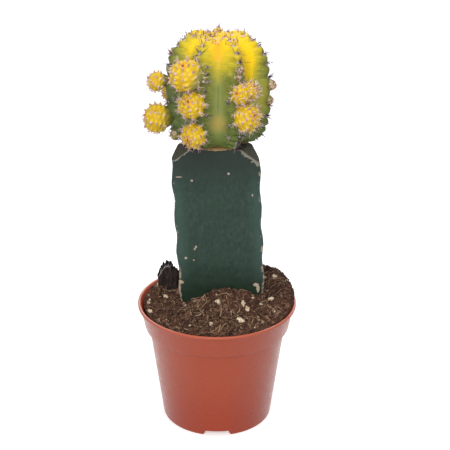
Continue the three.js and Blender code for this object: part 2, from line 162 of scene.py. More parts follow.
def polar(radius, azimuth, z, axis=(0.0, 0.0)):
    return Vector((axis[0] + radius * math.sin(azimuth), axis[1] - radius * math.cos(azimuth), z))


def azimuth_of(x, y):
    return math.atan2(x, -y)


def outward(azimuth, lift):
    return polar(math.cos(lift), azimuth, math.sin(lift))


def uneven(place, pitch, octaves=3):
    """A natural unevenness round 0, with bumps about as far apart as the pitch, in millimetres."""
    return noise.fractal(place / pitch, 1.0, 2.0, octaves)


# %% [markdown]
# A finished piece has its place in its mesh, so its object stays at the origin. It rides on the frame's one
# body and names the finish it takes. Thin things such as spines, hairs and fibres are drawn as curves with a
# thickness at each point, because a curve bends and tapers with a handful of numbers, and are then made
# into closed meshes.

# %% Pieces from meshes and from strands


def piece(name, bm, finish, stands_for=(), sharp=None):
    """A finished piece from a shape in millimetres, with sharp edges over an angle if one is given."""
    bmesh.ops.transform(bm, matrix=Matrix.Scale(MM, 4), verts=bm.verts)
    mesh = bpy.data.meshes.new(name)
    bm.to_mesh(mesh)
    bm.free()
    mesh.materials.append(finish)
    mesh.shade_smooth()
    if sharp is not None:
        mesh.set_sharp_from_angle(angle=math.radians(sharp))
    made = bpy.data.objects.new(name, mesh)
    scene.collection.objects.link(made)
    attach(made, "root")
    if stands_for:
        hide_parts(*stands_for)
    print(f"{name}: {sum(len(polygon.vertices) - 2 for polygon in mesh.polygons)} triangles")
    return made


def strands(name, paths, shades, finish):
    """Thin closed tubes, each with a shade of its own. A path is a list of (point, radius)."""
    curve = bpy.data.curves.new(name, "CURVE")
    curve.dimensions = "3D"
    curve.bevel_depth = MM
    curve.bevel_resolution = 0
    curve.use_fill_caps = True
    for path in paths:
        spline = curve.splines.new("POLY")
        spline.points.add(len(path) - 1)
        for knot, (point, radius) in zip(spline.points, path):
            knot.co = (*(point * MM), 1)
            knot.radius = radius
    drawn = bpy.data.objects.new(name, curve)
    scene.collection.objects.link(drawn)
    mesh = bpy.data.meshes.new_from_object(drawn.evaluated_get(bpy.context.evaluated_depsgraph_get()))
    bpy.data.objects.remove(drawn)
    bpy.data.curves.remove(curve)
    bm = bmesh.new()
    bm.from_mesh(mesh)
    bpy.data.meshes.remove(mesh)
    bmesh.ops.transform(bm, matrix=Matrix.Scale(1 / MM, 4), verts=bm.verts)
    bmesh.ops.remove_doubles(bm, verts=bm.verts, dist=SAME_PLACE / 2)
    bmesh.ops.recalc_face_normals(bm, faces=bm.faces)
    points = [(point, shade) for path, shade in zip(paths, shades) for point, _ in path]
    nearest = KDTree(len(points))
    for i, (point, _) in enumerate(points):
        nearest.insert(point, i)
    nearest.balance()
    layer = bm.verts.layers.float.new("shade")
    for vert in bm.verts:
        vert[layer] = points[nearest.find(vert.co)[1]][1]
    return piece(name, bm, finish)


# %% [markdown]
# Wool, crumbs and grains are hundreds or thousands of little balls pulled out of shape. They are made in
# batches that are poured together, because a bmesh gets slower to work on as it fills.

# %% Many small shapes in one


class Gathering:
    """Many small balls in one shape, with values stored on their points."""

    BATCH = 80  # balls

    def __init__(self, *names):
        self.names = names
        self.whole = bmesh.new()
        for name in names:
            self.whole.verts.layers.float.new(name)
        self.start_batch()

    def start_batch(self):
        self.batch = bmesh.new()
        self.layers = [self.batch.verts.layers.float.new(name) for name in self.names]
        self.left = self.BATCH

    def ball(self, matrix, detail, knead, *values):
        made = bmesh.ops.create_icosphere(self.batch, subdivisions=detail, radius=1, matrix=matrix)
        for vert in made["verts"]:
            vert.co += knead(vert.co)
            for layer, value in zip(self.layers, values):
                vert[layer] = value
        self.left -= 1
        if self.left == 0:
            self.pour()

    def pour(self):
        mesh = bpy.data.meshes.new("batch")
        self.batch.to_mesh(mesh)
        self.batch.free()
        self.whole.from_mesh(mesh)
        bpy.data.meshes.remove(mesh)
        self.start_batch()

    def shape(self):
        self.pour()
        self.batch.free()
        return self.whole


def standing(place, facing, along):
    """A matrix that stands a shape on a surface: its Z faces out and its Y runs along."""
    side = along.cross(facing).normalized()
    return Matrix.Translation(place) @ Matrix((side, facing.cross(side), facing)).transposed().to_4x4()


# %% [markdown]
# ## A paint box
#
# Every finish here ends in one Principled shader, with patterns mixed in front of it. The patterns read
# the piece's own coordinates in millimetres or values stored on its mesh, so they stay put when the piece is
# moved. Colours are given as they look on a screen, from 0 to 255.

# %% Patterns and shaders


def tint(red, green, blue):
    def linear(value):
        value /= 255
        return value / 12.92 if value <= 0.04045 else ((value + 0.055) / 1.055) ** 2.4

    return (linear(red), linear(green), linear(blue), 1)


class Finish:
    """One material. Its methods add a pattern and give back the socket it comes out of."""

    def __init__(self, name, **sockets):
        self.material = bpy.data.materials.new(name)
        self.material.use_nodes = True
        self.tree = self.material.node_tree
        self.shader = self.tree.nodes["Principled BSDF"]
        self.place = self.node("ShaderNodeTexCoord").outputs["Object"]
        self.relief_so_far = None
        for socket, value in sockets.items():
            self.give(self.shader, socket.replace("_", " "), value)

    def give(self, node, socket, value):
        if isinstance(value, bpy.types.NodeSocket):
            self.tree.links.new(value, node.inputs[socket])
        else:
            node.inputs[socket].default_value = value

    def node(self, kind, given=None, **settings):
        made = self.tree.nodes.new(kind)
        for name, value in settings.items():
            setattr(made, name, value)
        for socket, value in (given or {}).items():
            self.give(made, socket, value)
        return made

    def stored(self, name):
        return self.node("ShaderNodeAttribute", attribute_name=name).outputs["Fac"]

    def faces(self, direction):
        """How squarely the surface faces a way, from 1 to -1."""
        normal = self.node("ShaderNodeTexCoord").outputs["Normal"]
        sockets = {0: normal, 1: direction}
        return self.node("ShaderNodeVectorMath", sockets, operation="DOT_PRODUCT").outputs["Value"]

    def height(self):
        """Millimetres above the floor."""
        apart = self.node("ShaderNodeSeparateXYZ", {0: self.place})
        return self.times(apart.outputs["Z"], 1 / MM)

    def sum(self, operation, first, second):
        return self.node("ShaderNodeMath", {0: first, 1: second}, operation=operation).outputs[0]

    def times(self, first, second):
        return self.sum("MULTIPLY", first, second)

    def minus(self, first, second):
        return self.sum("SUBTRACT", first, second)

    def larger(self, first, second):
        return self.sum("MAXIMUM", first, second)

    def step(self, value, low, high, first=0.0, last=1.0):
        """From first to last as the value goes from low to high."""
        sockets = {"Value": value, "From Min": low, "From Max": high, "To Min": first, "To Max": last}
        return self.node("ShaderNodeMapRange", sockets, interpolation_type="SMOOTHSTEP").outputs[0]

    def stretched(self, stretch):
        return self.node("ShaderNodeVectorMath", {0: self.place, 1: stretch}, operation="MULTIPLY").outputs[0]

    def grain(self, pitch, detail=3.0, stretch=(1, 1, 1), rough=0.5):
        """Cloudy noise from 0 to 1."""
        sockets = {"Vector": self.stretched(stretch), "Scale": 1 / (pitch * MM), "Detail": detail}
        return self.node("ShaderNodeTexNoise", {**sockets, "Roughness": rough}).outputs["Fac"]

    def cells(self, pitch):
        """The distance from the middle of the nearest of many scattered cells, in cell widths."""
        sockets = {"Vector": self.place, "Scale": 1 / (pitch * MM)}
        return self.node("ShaderNodeTexVoronoi", sockets).outputs["Distance"]

    def spot(self, centre, size, ragged, soft=0.35):
        """1 inside an oval at a place, in millimetres, and 0 outside it, with a ragged or soft edge."""
        sockets = {0: self.place, 1: Vector(centre) * MM}
        away = self.node("ShaderNodeVectorMath", sockets, operation="SUBTRACT").outputs[0]
        shrunk = Vector([1 / (radius * MM) for radius in size])
        oval = self.node("ShaderNodeVectorMath", {0: away, 1: shrunk}, operation="MULTIPLY").outputs[0]
        far = self.node("ShaderNodeVectorMath", {0: oval}, operation="LENGTH").outputs["Value"]
        torn = self.times(self.minus(self.grain(0.8), 0.5), 2 * ragged)
        return self.step(self.sum("ADD", far, torn), 1 + soft / 2, 1 - soft / 2)

    def mix(self, share, first, second):
        sockets = {0: share, 6: first, 7: second}
        return self.node("ShaderNodeMix", sockets, data_type="RGBA").outputs[2]

    def ramp(self, value, *stops):
        made = self.node("ShaderNodeValToRGB", {0: value})
        elements = made.color_ramp.elements
        while len(elements) < len(stops):
            elements.new(1.0)
        for element, (at, colour) in zip(elements, stops):
            element.position = at
            element.color = colour
        return made.outputs["Color"]

    def relief(self, value, depth):
        """Raises the surface by a pattern from 0 to 1, over what was raised before."""
        sockets = {"Height": value, "Distance": depth * MM}
        if self.relief_so_far:
            sockets["Normal"] = self.relief_so_far
        self.relief_so_far = self.node("ShaderNodeBump", sockets).outputs["Normal"]
        self.give(self.shader, "Normal", self.relief_so_far)

    def colour(self, value):
        self.give(self.shader, "Base Color", value)

    def gloss(self, value):
        """Roughness, from 0 for a mirror to 1 for chalk."""
        self.give(self.shader, "Roughness", value)


# %% [markdown]
# The floor is as white as the room. A little light of its own keeps it even out to its far edge. It is left
# out of the light that falls on the plant, because the room already lights that from below.

# %% The floor
FLOOR_REACH = 6.0  # metres from the middle to each side

floor_finish = Finish("floor_white", Roughness=0.9, Emission_Strength=0.35)
floor_finish.colour((0.92, 0.92, 0.92, 1))
floor_finish.give(floor_finish.shader, "Emission Color", (1, 1, 1, 1))
floor_mesh = bmesh.new()
bmesh.ops.create_grid(floor_mesh, x_segments=1, y_segments=1, size=FLOOR_REACH)
floor = bpy.data.objects.new("floor", bpy.data.meshes.new("floor"))
floor_mesh.to_mesh(floor.data)
floor_mesh.free()
floor.data.materials.append(floor_finish.material)
floor.visible_diffuse = False
scene.collection.objects.link(floor)

# %% [markdown]
# ## The pot
#
# The real pot is blown into a mould from a thin sheet of plastic: a tapered body, a wider band under the lip
# that makes it stiff, and a foot with notches so that water drains away. A lathe makes it. The outline is
# drawn once, its corners are rounded while they are still points on a wire, and the wire is spun.

# %% The pot's outline, spun
pot = Sizes(
    height=51.2, rim=32.5, body_top=27.9, foot=22.6, foot_ring=2.8, wall=1.0, band=10.9, band_step=1.7,
    lip=1.2, lip_step=1.0, floor_under=2.6, notches=3, notch_width=9.3, notch_height=2.4, notch_flare=1.5,
    drains=6, drain_radius=2.6, drain_circle=13, drill=6, corner=0.28, around=168,
)
pot.band_bottom = pot.height - pot.band
pot.band_radius = pot.body_top + pot.band_step
pot.floor_top = pot.floor_under + pot.wall
body_slope = (pot.body_top - pot.foot) / pot.band_bottom
pot_outline = [
    (0, pot.floor_under),
    (pot.foot - pot.foot_ring - 0.6, pot.floor_under),
    (pot.foot - pot.foot_ring, 0),
    (pot.foot - 0.5, 0),
    (pot.foot, 0.5),
    (pot.body_top, pot.band_bottom - 0.6),
    (pot.band_radius, pot.band_bottom + 0.5),
    (pot.rim - pot.lip_step, pot.height - pot.lip - 0.5),
    (pot.rim, pot.height - pot.lip),
    (pot.rim, pot.height),
    (pot.rim - pot.wall, pot.height),
    (pot.rim - pot.lip_step - pot.wall, pot.height - pot.lip - 0.6),
    (pot.band_radius - pot.wall, pot.band_bottom + 0.7),
    (pot.body_top - pot.wall, pot.band_bottom - 0.6),
    (pot.foot + body_slope * 4 - pot.wall, pot.floor_top + 1.5),
    (pot.foot + body_slope * 4 - pot.wall - 1.4, pot.floor_top),
    (0, pot.floor_top),
]


def pot_shell():
    bm = bmesh.new()
    wire = [bm.verts.new((radius, 0, z)) for radius, z in pot_outline]
    for pair in zip(wire, wire[1:]):
        bm.edges.new(pair)
    bmesh.ops.bevel(
        bm, geom=wire[1:-1], offset=pot.corner, offset_type="OFFSET", segments=3, profile=0.5,
        affect="VERTICES", material=-1,
    )
    drawn = bm.verts[:] + bm.edges[:]
    bmesh.ops.spin(bm, geom=drawn, axis=(0, 0, 1), cent=(0, 0, 0), angle=2 * math.pi,
                   steps=pot.around, use_merge=True)
    bmesh.ops.remove_doubles(bm, verts=bm.verts, dist=SAME_PLACE)
    bmesh.ops.recalc_face_normals(bm, faces=bm.faces)
    return bm


# %% [markdown]
# The notches, which widen towards the floor, and the drain holes are cut with a Boolean modifier, and the
# cutters are removed afterwards.

# %% Notches and drain holes
def pot_cutters():
    bm = bmesh.new()
    for i in range(pot.notches):
        turn = Matrix.Rotation(2 * math.pi * i / pot.notches, 4, "Z")
        size = Matrix.Diagonal((pot.notch_width, 4 * pot.foot_ring, 2 * pot.notch_height, 1))
        made = bmesh.ops.create_cube(bm, size=1, matrix=turn @ Matrix.Translation((0, -pot.foot, 0)) @ size)
        low = [vert for vert in made["verts"] if vert.co.z < 0]
        bmesh.ops.scale(bm, vec=(pot.notch_flare, 1, 1), space=turn.inverted(), verts=low)
    for i in range(pot.drains):
        place = polar(pot.drain_circle, 2 * math.pi * (i + 0.5) / pot.drains, pot.floor_under)
        bmesh.ops.create_cone(bm, cap_ends=True, segments=32, radius1=pot.drain_radius,
                              radius2=pot.drain_radius, depth=pot.drill, matrix=Matrix.Translation(place))
    return bm


def unplaced(name, bm):
    mesh = bpy.data.meshes.new(name)
    bm.to_mesh(mesh)
    bm.free()
    made = bpy.data.objects.new(name, mesh)
    scene.collection.objects.link(made)
    return made


def cut_pot():
    shell = unplaced("pot_uncut", pot_shell())
    cutters = unplaced("pot_cutters", pot_cutters())
    cut = shell.modifiers.new("cut", "BOOLEAN")
    cut.operation = "DIFFERENCE"
    cut.solver = "EXACT"
    cut.object = cutters
    mesh = bpy.data.meshes.new_from_object(shell.evaluated_get(bpy.context.evaluated_depsgraph_get()))
    bm = bmesh.new()
    bm.from_mesh(mesh)
    for done in (shell, cutters):
        bpy.data.objects.remove(done)
    bpy.data.meshes.remove(mesh)
    return bm


# %% [markdown]
# The plastic is a warm terracotta with a satin skin. Near the foot it is redder, and near the lip it is
# painted a little paler, a painted highlight where the lip's top faces the light. A fine unevenness of the
# mould breaks the reflections, and a few specks of soil stick to it.

# %% The pot's plastic
pot_plastic = Finish("pot_plastic", Roughness=0.3, Specular_IOR_Level=0.28)
cloud = pot_plastic.grain(14, detail=4)
warm = pot_plastic.mix(cloud, tint(160, 67, 41), tint(165, 72, 46))
low_down = pot_plastic.step(pot_plastic.height(), 34, 3)
warm = pot_plastic.mix(pot_plastic.times(low_down, 0.7), warm, tint(152, 52, 28))
dusty = pot_plastic.step(pot_plastic.grain(5, detail=5), 0.55, 0.85, 0, 0.12)
warm = pot_plastic.mix(dusty, warm, tint(178, 100, 82))
# painted highlight: the lip is painted paler where its top faces the light
painted_lip_highlight = pot_plastic.step(pot_plastic.height(), pot.height - pot.lip, pot.height - 0.2, 0, 0.4)
warm = pot_plastic.mix(painted_lip_highlight, warm, tint(186, 104, 82))
specks = pot_plastic.step(pot_plastic.cells(2.6), 0.075, 0.03)
speck_places = pot_plastic.step(pot_plastic.grain(9, detail=2), 0.60, 0.70)
specks = pot_plastic.times(specks, speck_places)
pot_plastic.colour(pot_plastic.mix(pot_plastic.times(specks, 0.75), warm, tint(80, 36, 28)))
pot_plastic.gloss(pot_plastic.step(pot_plastic.grain(3, detail=5), 0.2, 0.8, 0.24, 0.38))
pot_plastic.relief(pot_plastic.grain(2.2, detail=2), 0.03)
pot_plastic.relief(pot_plastic.grain(0.25, detail=2), 0.006)

piece("nursery_pot", cut_pot(), pot_plastic.material, ["pot"], sharp=35)

# %% [markdown]
# ## The stem
#
# The rootstock is a length of climbing cactus with three ribs and slightly hollow faces. Its margins are a
# little wavy. The grower cut it straight across for the graft, and bevelled the ribs so that the margins
# would dry without lifting the scion. It starts as a plain column with many rows, each corner of which is
# moved to where the real skin is; three slanting cuts make the bevels.

# %% The stem's form
stock = Sizes(
    bottom=22, top=118.2, centre_y=6.3, lean_from=76, lean_x=1.1, lean_slope=-0.045, face=10.9,
    hollowing=0.8, corner=0.8, wave=0.45, wave_pitch=15, root_taper=0.25, root_top=46, bevel_start=14.4,
    bevel_slope=math.radians(43), margin_width=0.6, rough=0.22, rough_pitch=7, around=252, rows=150,
    crowding=0.17,  # how far the columns are drawn to the ribs, in radians
)
stock_ribs = [  # azimuth in degrees, reach from the axis, a height at which the margin swells
    Sizes(azimuth=-60, reach=19, swells_at=74),
    Sizes(azimuth=60, reach=19, swells_at=78.5),
    Sizes(azimuth=180, reach=17.4, swells_at=70),
]


def stock_radius(azimuth, z):
    """The stem's radius round its own axis, and how near that is to a rib's margin, from 0 to 1."""
    third = 2 * math.pi / 3
    turned = azimuth + third / 2
    nearest = math.floor(turned / third + 0.5 - 1e-9)
    from_rib = abs(turned - nearest * third)
    rib = stock_ribs[nearest % 3]
    wave = stock.wave * math.cos(2 * math.pi * (z - rib.swells_at) / stock.wave_pitch)
    reach = rib.reach + wave + stock.corner
    straight = stock.face / math.cos(third / 2 - from_rib)
    blunt = -stock.corner * math.log(math.exp(-straight / stock.corner) + math.exp(-reach / stock.corner))
    hollow = stock.hollowing * math.sin(math.pi * from_rib / third) ** 2
    root = 1 - stock.root_taper * (1 - smooth(stock.bottom, stock.root_top, z))
    return (blunt - hollow) * root, max(0.0, 1 - from_rib / stock.margin_width)


def stock_axis(z):
    return stock.lean_x + stock.lean_slope * (z - stock.lean_from), stock.centre_y


def stock_cut(rib):
    """A point on a rib's bevel, and the way the bevel faces."""
    azimuth = math.radians(rib.azimuth)
    start = stock.bevel_start + rib.reach - stock_ribs[0].reach
    point = polar(start, azimuth, stock.top, stock_axis(stock.top))
    return point, polar(math.sin(stock.bevel_slope), azimuth, math.cos(stock.bevel_slope))


def stem_form():
    bm = bmesh.new()
    margin = bm.verts.layers.float.new("margin")
    bmesh.ops.create_cone(bm, cap_ends=True, segments=stock.around, radius1=1, radius2=1, depth=1)
    upright = [edge for edge in bm.edges if abs(edge.verts[0].co.z - edge.verts[1].co.z) > 0.5]
    bmesh.ops.subdivide_edges(bm, edges=upright, cuts=stock.rows, use_grid_fill=True)
    for vert in bm.verts:
        z = stock.bottom + (vert.co.z + 0.5) * (stock.top - stock.bottom)
        even = azimuth_of(vert.co.x, vert.co.y)
        azimuth = even + stock.crowding * math.sin(len(stock_ribs) * even)
        radius, vert[margin] = stock_radius(azimuth, z)
        vert.co = polar(radius, azimuth, z, stock_axis(z))
        vert.co += stock.rough * uneven(vert.co, stock.rough_pitch) * outward(azimuth, 0)
    for rib in stock_ribs:
        point, facing = stock_cut(rib)
        cut = bmesh.ops.bisect_plane(bm, geom=bm.verts[:] + bm.edges[:] + bm.faces[:], dist=SAME_PLACE,
                                     plane_co=point, plane_no=facing, clear_outer=True)
        rim = [part for part in cut["geom_cut"] if isinstance(part, bmesh.types.BMEdge)]
        bmesh.ops.holes_fill(bm, edges=rim, sides=0)
    bmesh.ops.recalc_face_normals(bm, faces=bm.faces)
    return bm


# %% [markdown]
# The skin is a dark blue-green with a fine mottling, bluer and paler towards the margins, and darker just
# above the soil. At the top it is painted darker, a painted shadow of the ball above. It could be painted,
# but a few noises of different sizes, laid over each other, give the mottling, the broad patches and the fine
# upright scratches, and stay sharp close up.

# %% The stem's skin
stem_skin = Finish("stem_skin", Roughness=0.5, Specular_IOR_Level=0.22)
margin = stem_skin.stored("margin")
level = stem_skin.height()
mottle = stem_skin.grain(1.3, detail=6, stretch=(1, 1, 0.6), rough=0.65)
green = stem_skin.ramp(mottle, (0.28, tint(27, 44, 37)), (0.5, tint(36, 54, 46)), (0.75, tint(51, 71, 62)))
broad = stem_skin.grain(10, detail=3, stretch=(1, 1, 0.5))
green = stem_skin.mix(stem_skin.step(broad, 0.45, 0.7, 0, 0.5), green, tint(36, 58, 42))
bluish = stem_skin.step(margin, 0.6, 0.9, 0, 0.6)
green = stem_skin.mix(bluish, green, tint(56, 78, 72))
# painted shadow: the top of the stem is darkened where the ball above shades it
green = stem_skin.mix(stem_skin.step(level, 96, 116, 0, 0.9), green, tint(27, 37, 32))
green = stem_skin.mix(stem_skin.step(level, 76, 56, 0, 0.85), green, tint(14, 32, 17))
scratches = stem_skin.grain(0.9, detail=4, stretch=(1, 1, 0.12), rough=0.7)
green = stem_skin.mix(stem_skin.step(scratches, 0.60, 0.76, 0, 0.2), green, tint(84, 106, 98))

# %% [markdown]
# Cork has grown over old wounds: at the foot of both front margins and in a few small dots. The dots are
# ovals at named places, in front where the photograph shows them. On the margins a noise decides where it
# has grown, so that it ends raggedly.

# %% Cork on the stem
CORK_SPOTS = [  # place and half sizes, in mm; the last three are on the two back faces
    ((-9.8, -3.4, 105.6), (0.5, 3, 0.5)),
    ((4.5, -3.4, 108.3), (0.5, 3, 0.5)),
    ((-12.5, -3.4, 72.2), (0.65, 3, 0.6)),
    ((-9.3, -3.4, 71.3), (0.35, 3, 0.35)),
    ((-8.9, -3.4, 76.2), (0.42, 3, 0.55)),
    ((-8.4, -3.4, 77.1), (0.42, 3, 0.6)),
    ((-14.8, -3.4, 61.4), (1.3, 3, 0.75)),
    ((-15.6, -3.4, 59.0), (0.75, 3, 1.4)),
    ((15.8, -3.4, 60.3), (1.2, 3, 0.8)),
    ((16.6, -3.4, 58.6), (0.8, 3, 1.6)),
    ((-14.9, -3.4, 107.1), (1.3, 3, 0.28)),
    ((13.9, -3.4, 99.5), (0.35, 3, 0.6)),
    ((5.5, 16.0, 88.0), (3, 0.9, 1.1)),
    ((-8.0, 14.0, 66.0), (3, 0.7, 0.7)),
    ((-6.0, 18.0, 99.0), (3, 0.6, 1.4)),
]
cork = 0.0
for centre, size in CORK_SPOTS:
    cork = stem_skin.larger(cork, stem_skin.spot(centre, size, ragged=0.5))
on_margin = stem_skin.step(margin, 0.90, 0.96)
worn = stem_skin.step(stem_skin.grain(3.5, detail=4), 0.56, 0.62, 0, 0.9)
worn_low = stem_skin.step(level, 70, 64, 0, 0.85)
worn_low = stem_skin.times(worn_low, stem_skin.step(stem_skin.grain(1.8, detail=3), 0.42, 0.5))
cork = stem_skin.larger(cork, stem_skin.times(on_margin, stem_skin.larger(worn, worn_low)))
print("cork spots:", len(CORK_SPOTS))

# %% [markdown]
# The cuts for the graft have dried almost black, with a pale line where the skin was cut through. The same
# sums that made a bevel find it in the shader, by the distance from its plane and by the way the surface
# faces, so the colour can't slip off the form.

# %% The dried cuts
CUT_LINES = {-60: 0.5, 60: 1.1, 180: 0.6}  # how wide the dried line is at each rib's bevel, in mm
dried = 0.0
line = 0.0
ragged = stem_skin.step(stem_skin.grain(1.2, detail=4), 0.25, 0.75, 0.3, 1.5)
for rib in stock_ribs:
    point, facing = stock_cut(rib)
    along = stem_skin.node("ShaderNodeVectorMath", {0: stem_skin.place, 1: facing}, operation="DOT_PRODUCT")
    below = stem_skin.minus(point.dot(facing) * MM, along.outputs["Value"])
    width = stem_skin.times(ragged, CUT_LINES[rib.azimuth] * MM)
    near = stem_skin.sum("LESS_THAN", below, width)
    line = stem_skin.larger(line, near)
    dried = stem_skin.larger(dried, stem_skin.step(stem_skin.faces(facing), 0.9, 0.97))
dried = stem_skin.larger(dried, stem_skin.step(stem_skin.faces((0, 0, 1)), 0.9, 0.97))
line = stem_skin.times(line, stem_skin.minus(1.0, dried))

cork_colour = stem_skin.mix(stem_skin.grain(0.6, detail=4), tint(200, 188, 168), tint(136, 110, 90))
line_colour = stem_skin.mix(stem_skin.grain(0.8, detail=4), tint(150, 146, 132), tint(78, 76, 66))
dried_colour = stem_skin.mix(stem_skin.grain(1.2, detail=4), tint(82, 78, 66), tint(44, 46, 41))
skin = stem_skin.mix(cork, green, cork_colour)
skin = stem_skin.mix(line, skin, line_colour)
stem_skin.colour(stem_skin.mix(dried, skin, dried_colour))
stem_skin.gloss(stem_skin.step(stem_skin.larger(cork, dried), 0, 1, 0.46, 0.85))
stem_skin.relief(mottle, 0.10)
stem_skin.relief(cork, 0.12)
stem_skin.relief(stem_skin.grain(0.3, detail=3), 0.03)

piece("stem", stem_form(), stem_skin.material, ["rootstock"], sharp=38)

# %% [markdown]
# ## The ball
#
# The scion is a barrel with seven ribs. Down each rib sits a row of areoles, the woolly cushions that spines
# grow from. Each areole lies in a notch, and the rib swells into a chin below it. One formula gives the
# surface from an azimuth and a latitude, so a plain sphere with many rows takes the plant's form when its
# corners are moved, and the same formula later says where the areoles and the offsets sit.

# %% The ball's surface
ball = Sizes(
    axis=(0.4, 5.0), base=118.5, centre_z=140.4, half_height=22.6, radius=20.2, ribs=7,
    first_rib=math.pi / 7, valley=0.25, crest_blunt=0.1, chin=0.075, crown_dip=0.07, dip_width=0.34,
    top_power=2.8, base_power=3.4, areole_top=80, areole_step=12, areoles=12,
    rough=0.35, rough_pitch=8, furrow=0.06, furrow_pitch=1.1, around=7 * 44, rows=210,
)


def ball_point(azimuth, latitude):
    """The surface, and how far it is across the rib, from crest (0) to valley (1)."""
    power = ball.top_power if latitude > 0 else ball.base_power
    across = abs(math.cos(latitude)) ** (2 / power)
    up = math.copysign(abs(math.sin(latitude)) ** (2 / power), latitude)
    turned = (azimuth - ball.first_rib) / (2 * math.pi / ball.ribs)
    off_crest = 2 * abs(turned - math.floor(turned + 0.5))
    blunt = ball.crest_blunt
    from_crest = (math.hypot(off_crest, blunt) - blunt) / (math.hypot(1, blunt) - blunt)
    round_share = max(0.0, math.cos(latitude))
    valley = ball.valley * math.sin(math.pi / 2 * from_crest) * round_share**0.6
    below = ((ball.areole_top - math.degrees(latitude)) / ball.areole_step + 1e-6) % 1
    bulge = math.sin(math.pi * below**0.75) - 0.55
    chin = ball.chin * bulge * (1 - smooth(0, 0.5, from_crest)) * round_share**0.4
    dip = ball.crown_dip * math.exp(-(((math.pi / 2 - latitude) / ball.dip_width) ** 2))
    radius = ball.radius * across * (1 - valley + chin - dip)
    rise = ball.half_height * up * (1 - dip + 0.5 * chin - 0.35 * valley * up * up)
    point = polar(radius, azimuth, max(ball.base, ball.centre_z + rise), ball.axis)
    return point, from_crest


def ball_facing(azimuth, latitude):
    """The way the surface faces at a point."""
    here = ball_point(azimuth, latitude)[0]
    near = 0.02  # radians
    sideways = ball_point(azimuth + near, latitude)[0] - ball_point(azimuth - near, latitude)[0]
    upwards = ball_point(azimuth, latitude + near)[0] - ball_point(azimuth, latitude - near)[0]
    facing = sideways.cross(upwards).normalized()
    return here, facing if facing.dot(here - Vector((*ball.axis, ball.centre_z))) > 0 else -facing


# %% [markdown]
# The ball is yellow round its crown, where it has no green in it, and olive further down. How far down the
# yellow comes differs from rib to rib: it comes lower in the valleys than on the crests, lowest in the valley
# to the right of the front one, and least far on the left. A rule that gives each point a share, from 0 for
# green to 1 for yellow, follows the ribs, which a picture wrapped round the ball would not.

# %% Where the yellow ends
YELLOW_LINE = 155.5  # mm above the floor, the usual height at which the yellow turns olive
YELLOW_FADE = 15  # mm, from olive to yellow
FADE_BELOW = 9  # mm of that lie below the line
VALLEYS_LOWER = 7.3  # mm, how much lower the yellow comes in a valley than on a crest
YELLOW_LOBES = [  # azimuth and width in degrees, and how much higher the yellow ends there, in mm
    (0, 20, 0.9),
    (44, 12, -13.4),
    (57, 7, -5.0),
    (-85, 28, 5.0),
    (92, 14, 3.0),
    (150, 22, -3.5),
    (-150, 26, -2.0),
]


def yellow_share(azimuth, point, from_crest):
    line = YELLOW_LINE
    for centre, width, higher in YELLOW_LOBES:
        off = (math.degrees(azimuth) - centre + 180) % 360 - 180
        line += higher * math.exp(-((off / width) ** 2))
    line += 1.6 * uneven(point, 9) + VALLEYS_LOWER * (0.5 - from_crest)
    return min(1.0, max(0.0, (point.z - line + FADE_BELOW) / YELLOW_FADE))


# %% [markdown]
# The ball could be turned on a lathe and then pressed into ribs. Moving the corners of a fine sphere keeps
# its rows of faces along the ribs, and each corner can carry what the skin needs to know: how far it is from
# a crest, and how yellow it is. A slight waviness crosses the flanks of the ribs.

# %% The ball's form
def ball_form():
    bm = bmesh.new()
    layers = {name: bm.verts.layers.float.new(name) for name in ("across", "yellow")}
    bmesh.ops.create_uvsphere(bm, u_segments=ball.around, v_segments=ball.rows, radius=1)
    for vert in bm.verts:
        latitude = math.asin(max(-1, min(1, vert.co.z)))
        azimuth = azimuth_of(vert.co.x, vert.co.y) + ball.first_rib - math.pi / 2
        point, from_crest = ball_point(azimuth, latitude)
        wave = math.sin(2 * math.pi * (point.z / ball.furrow_pitch + 0.4 * uneven(point, 3)))
        furrow = math.sin(math.pi * from_crest) * wave
        grown = ball.rough * uneven(point, ball.rough_pitch) + ball.furrow * furrow * math.cos(latitude)
        vert.co = point + grown * outward(azimuth, latitude) * smooth(ball.base, ball.base + 2, point.z)
        vert[layers["across"]] = from_crest
        vert[layers["yellow"]] = yellow_share(azimuth, point, from_crest)
    bmesh.ops.recalc_face_normals(bm, faces=bm.faces)
    return bm


# %% [markdown]
# The flanks of the ribs are crossed by short pale and dark stripes, which fade out in the valleys and on the
# crests. In the yellow the front valley glows orange. In the green the valleys are painted paler than the
# crests, as painted light, and the thin crease above is painted dark, as painted shade. The front one has a
# diffuse tan patch. At the graft the edge has healed to a narrow tan line. Each of these is one colour, mixed
# in where a value on the mesh or a place says so.

# %% The ball's skin
ball_skin = Finish("ball_skin", Roughness=0.46, Specular_IOR_Level=0.22, Subsurface_Weight=0.06)
ball_skin.give(ball_skin.shader, "Subsurface Scale", 1.2 * MM)
across = ball_skin.stored("across")
level = ball_skin.height()

olive = ball_skin.ramp(
    ball_skin.step(level, 119, 152),
    (0.0, tint(78, 94, 34)), (0.3, tint(90, 104, 43)), (0.65, tint(112, 119, 53)), (1.0, tint(122, 126, 50)),
)
# painted light: the green valleys are painted paler, less so low down
painted_valley_light = ball_skin.mix(ball_skin.grain(5, detail=3), tint(146, 152, 86), tint(122, 132, 70))
in_light = ball_skin.times(ball_skin.step(across, 0.35, 0.95, 0, 0.8), ball_skin.step(level, 122, 131, 0.3))
olive = ball_skin.mix(in_light, olive, painted_valley_light)

shady_side = ball_skin.spot((-19.0, 2.0, 132.0), (9, 15, 14), ragged=0.3, soft=1.3)
olive = ball_skin.mix(ball_skin.times(shady_side, 0.75), olive, tint(70, 90, 56))

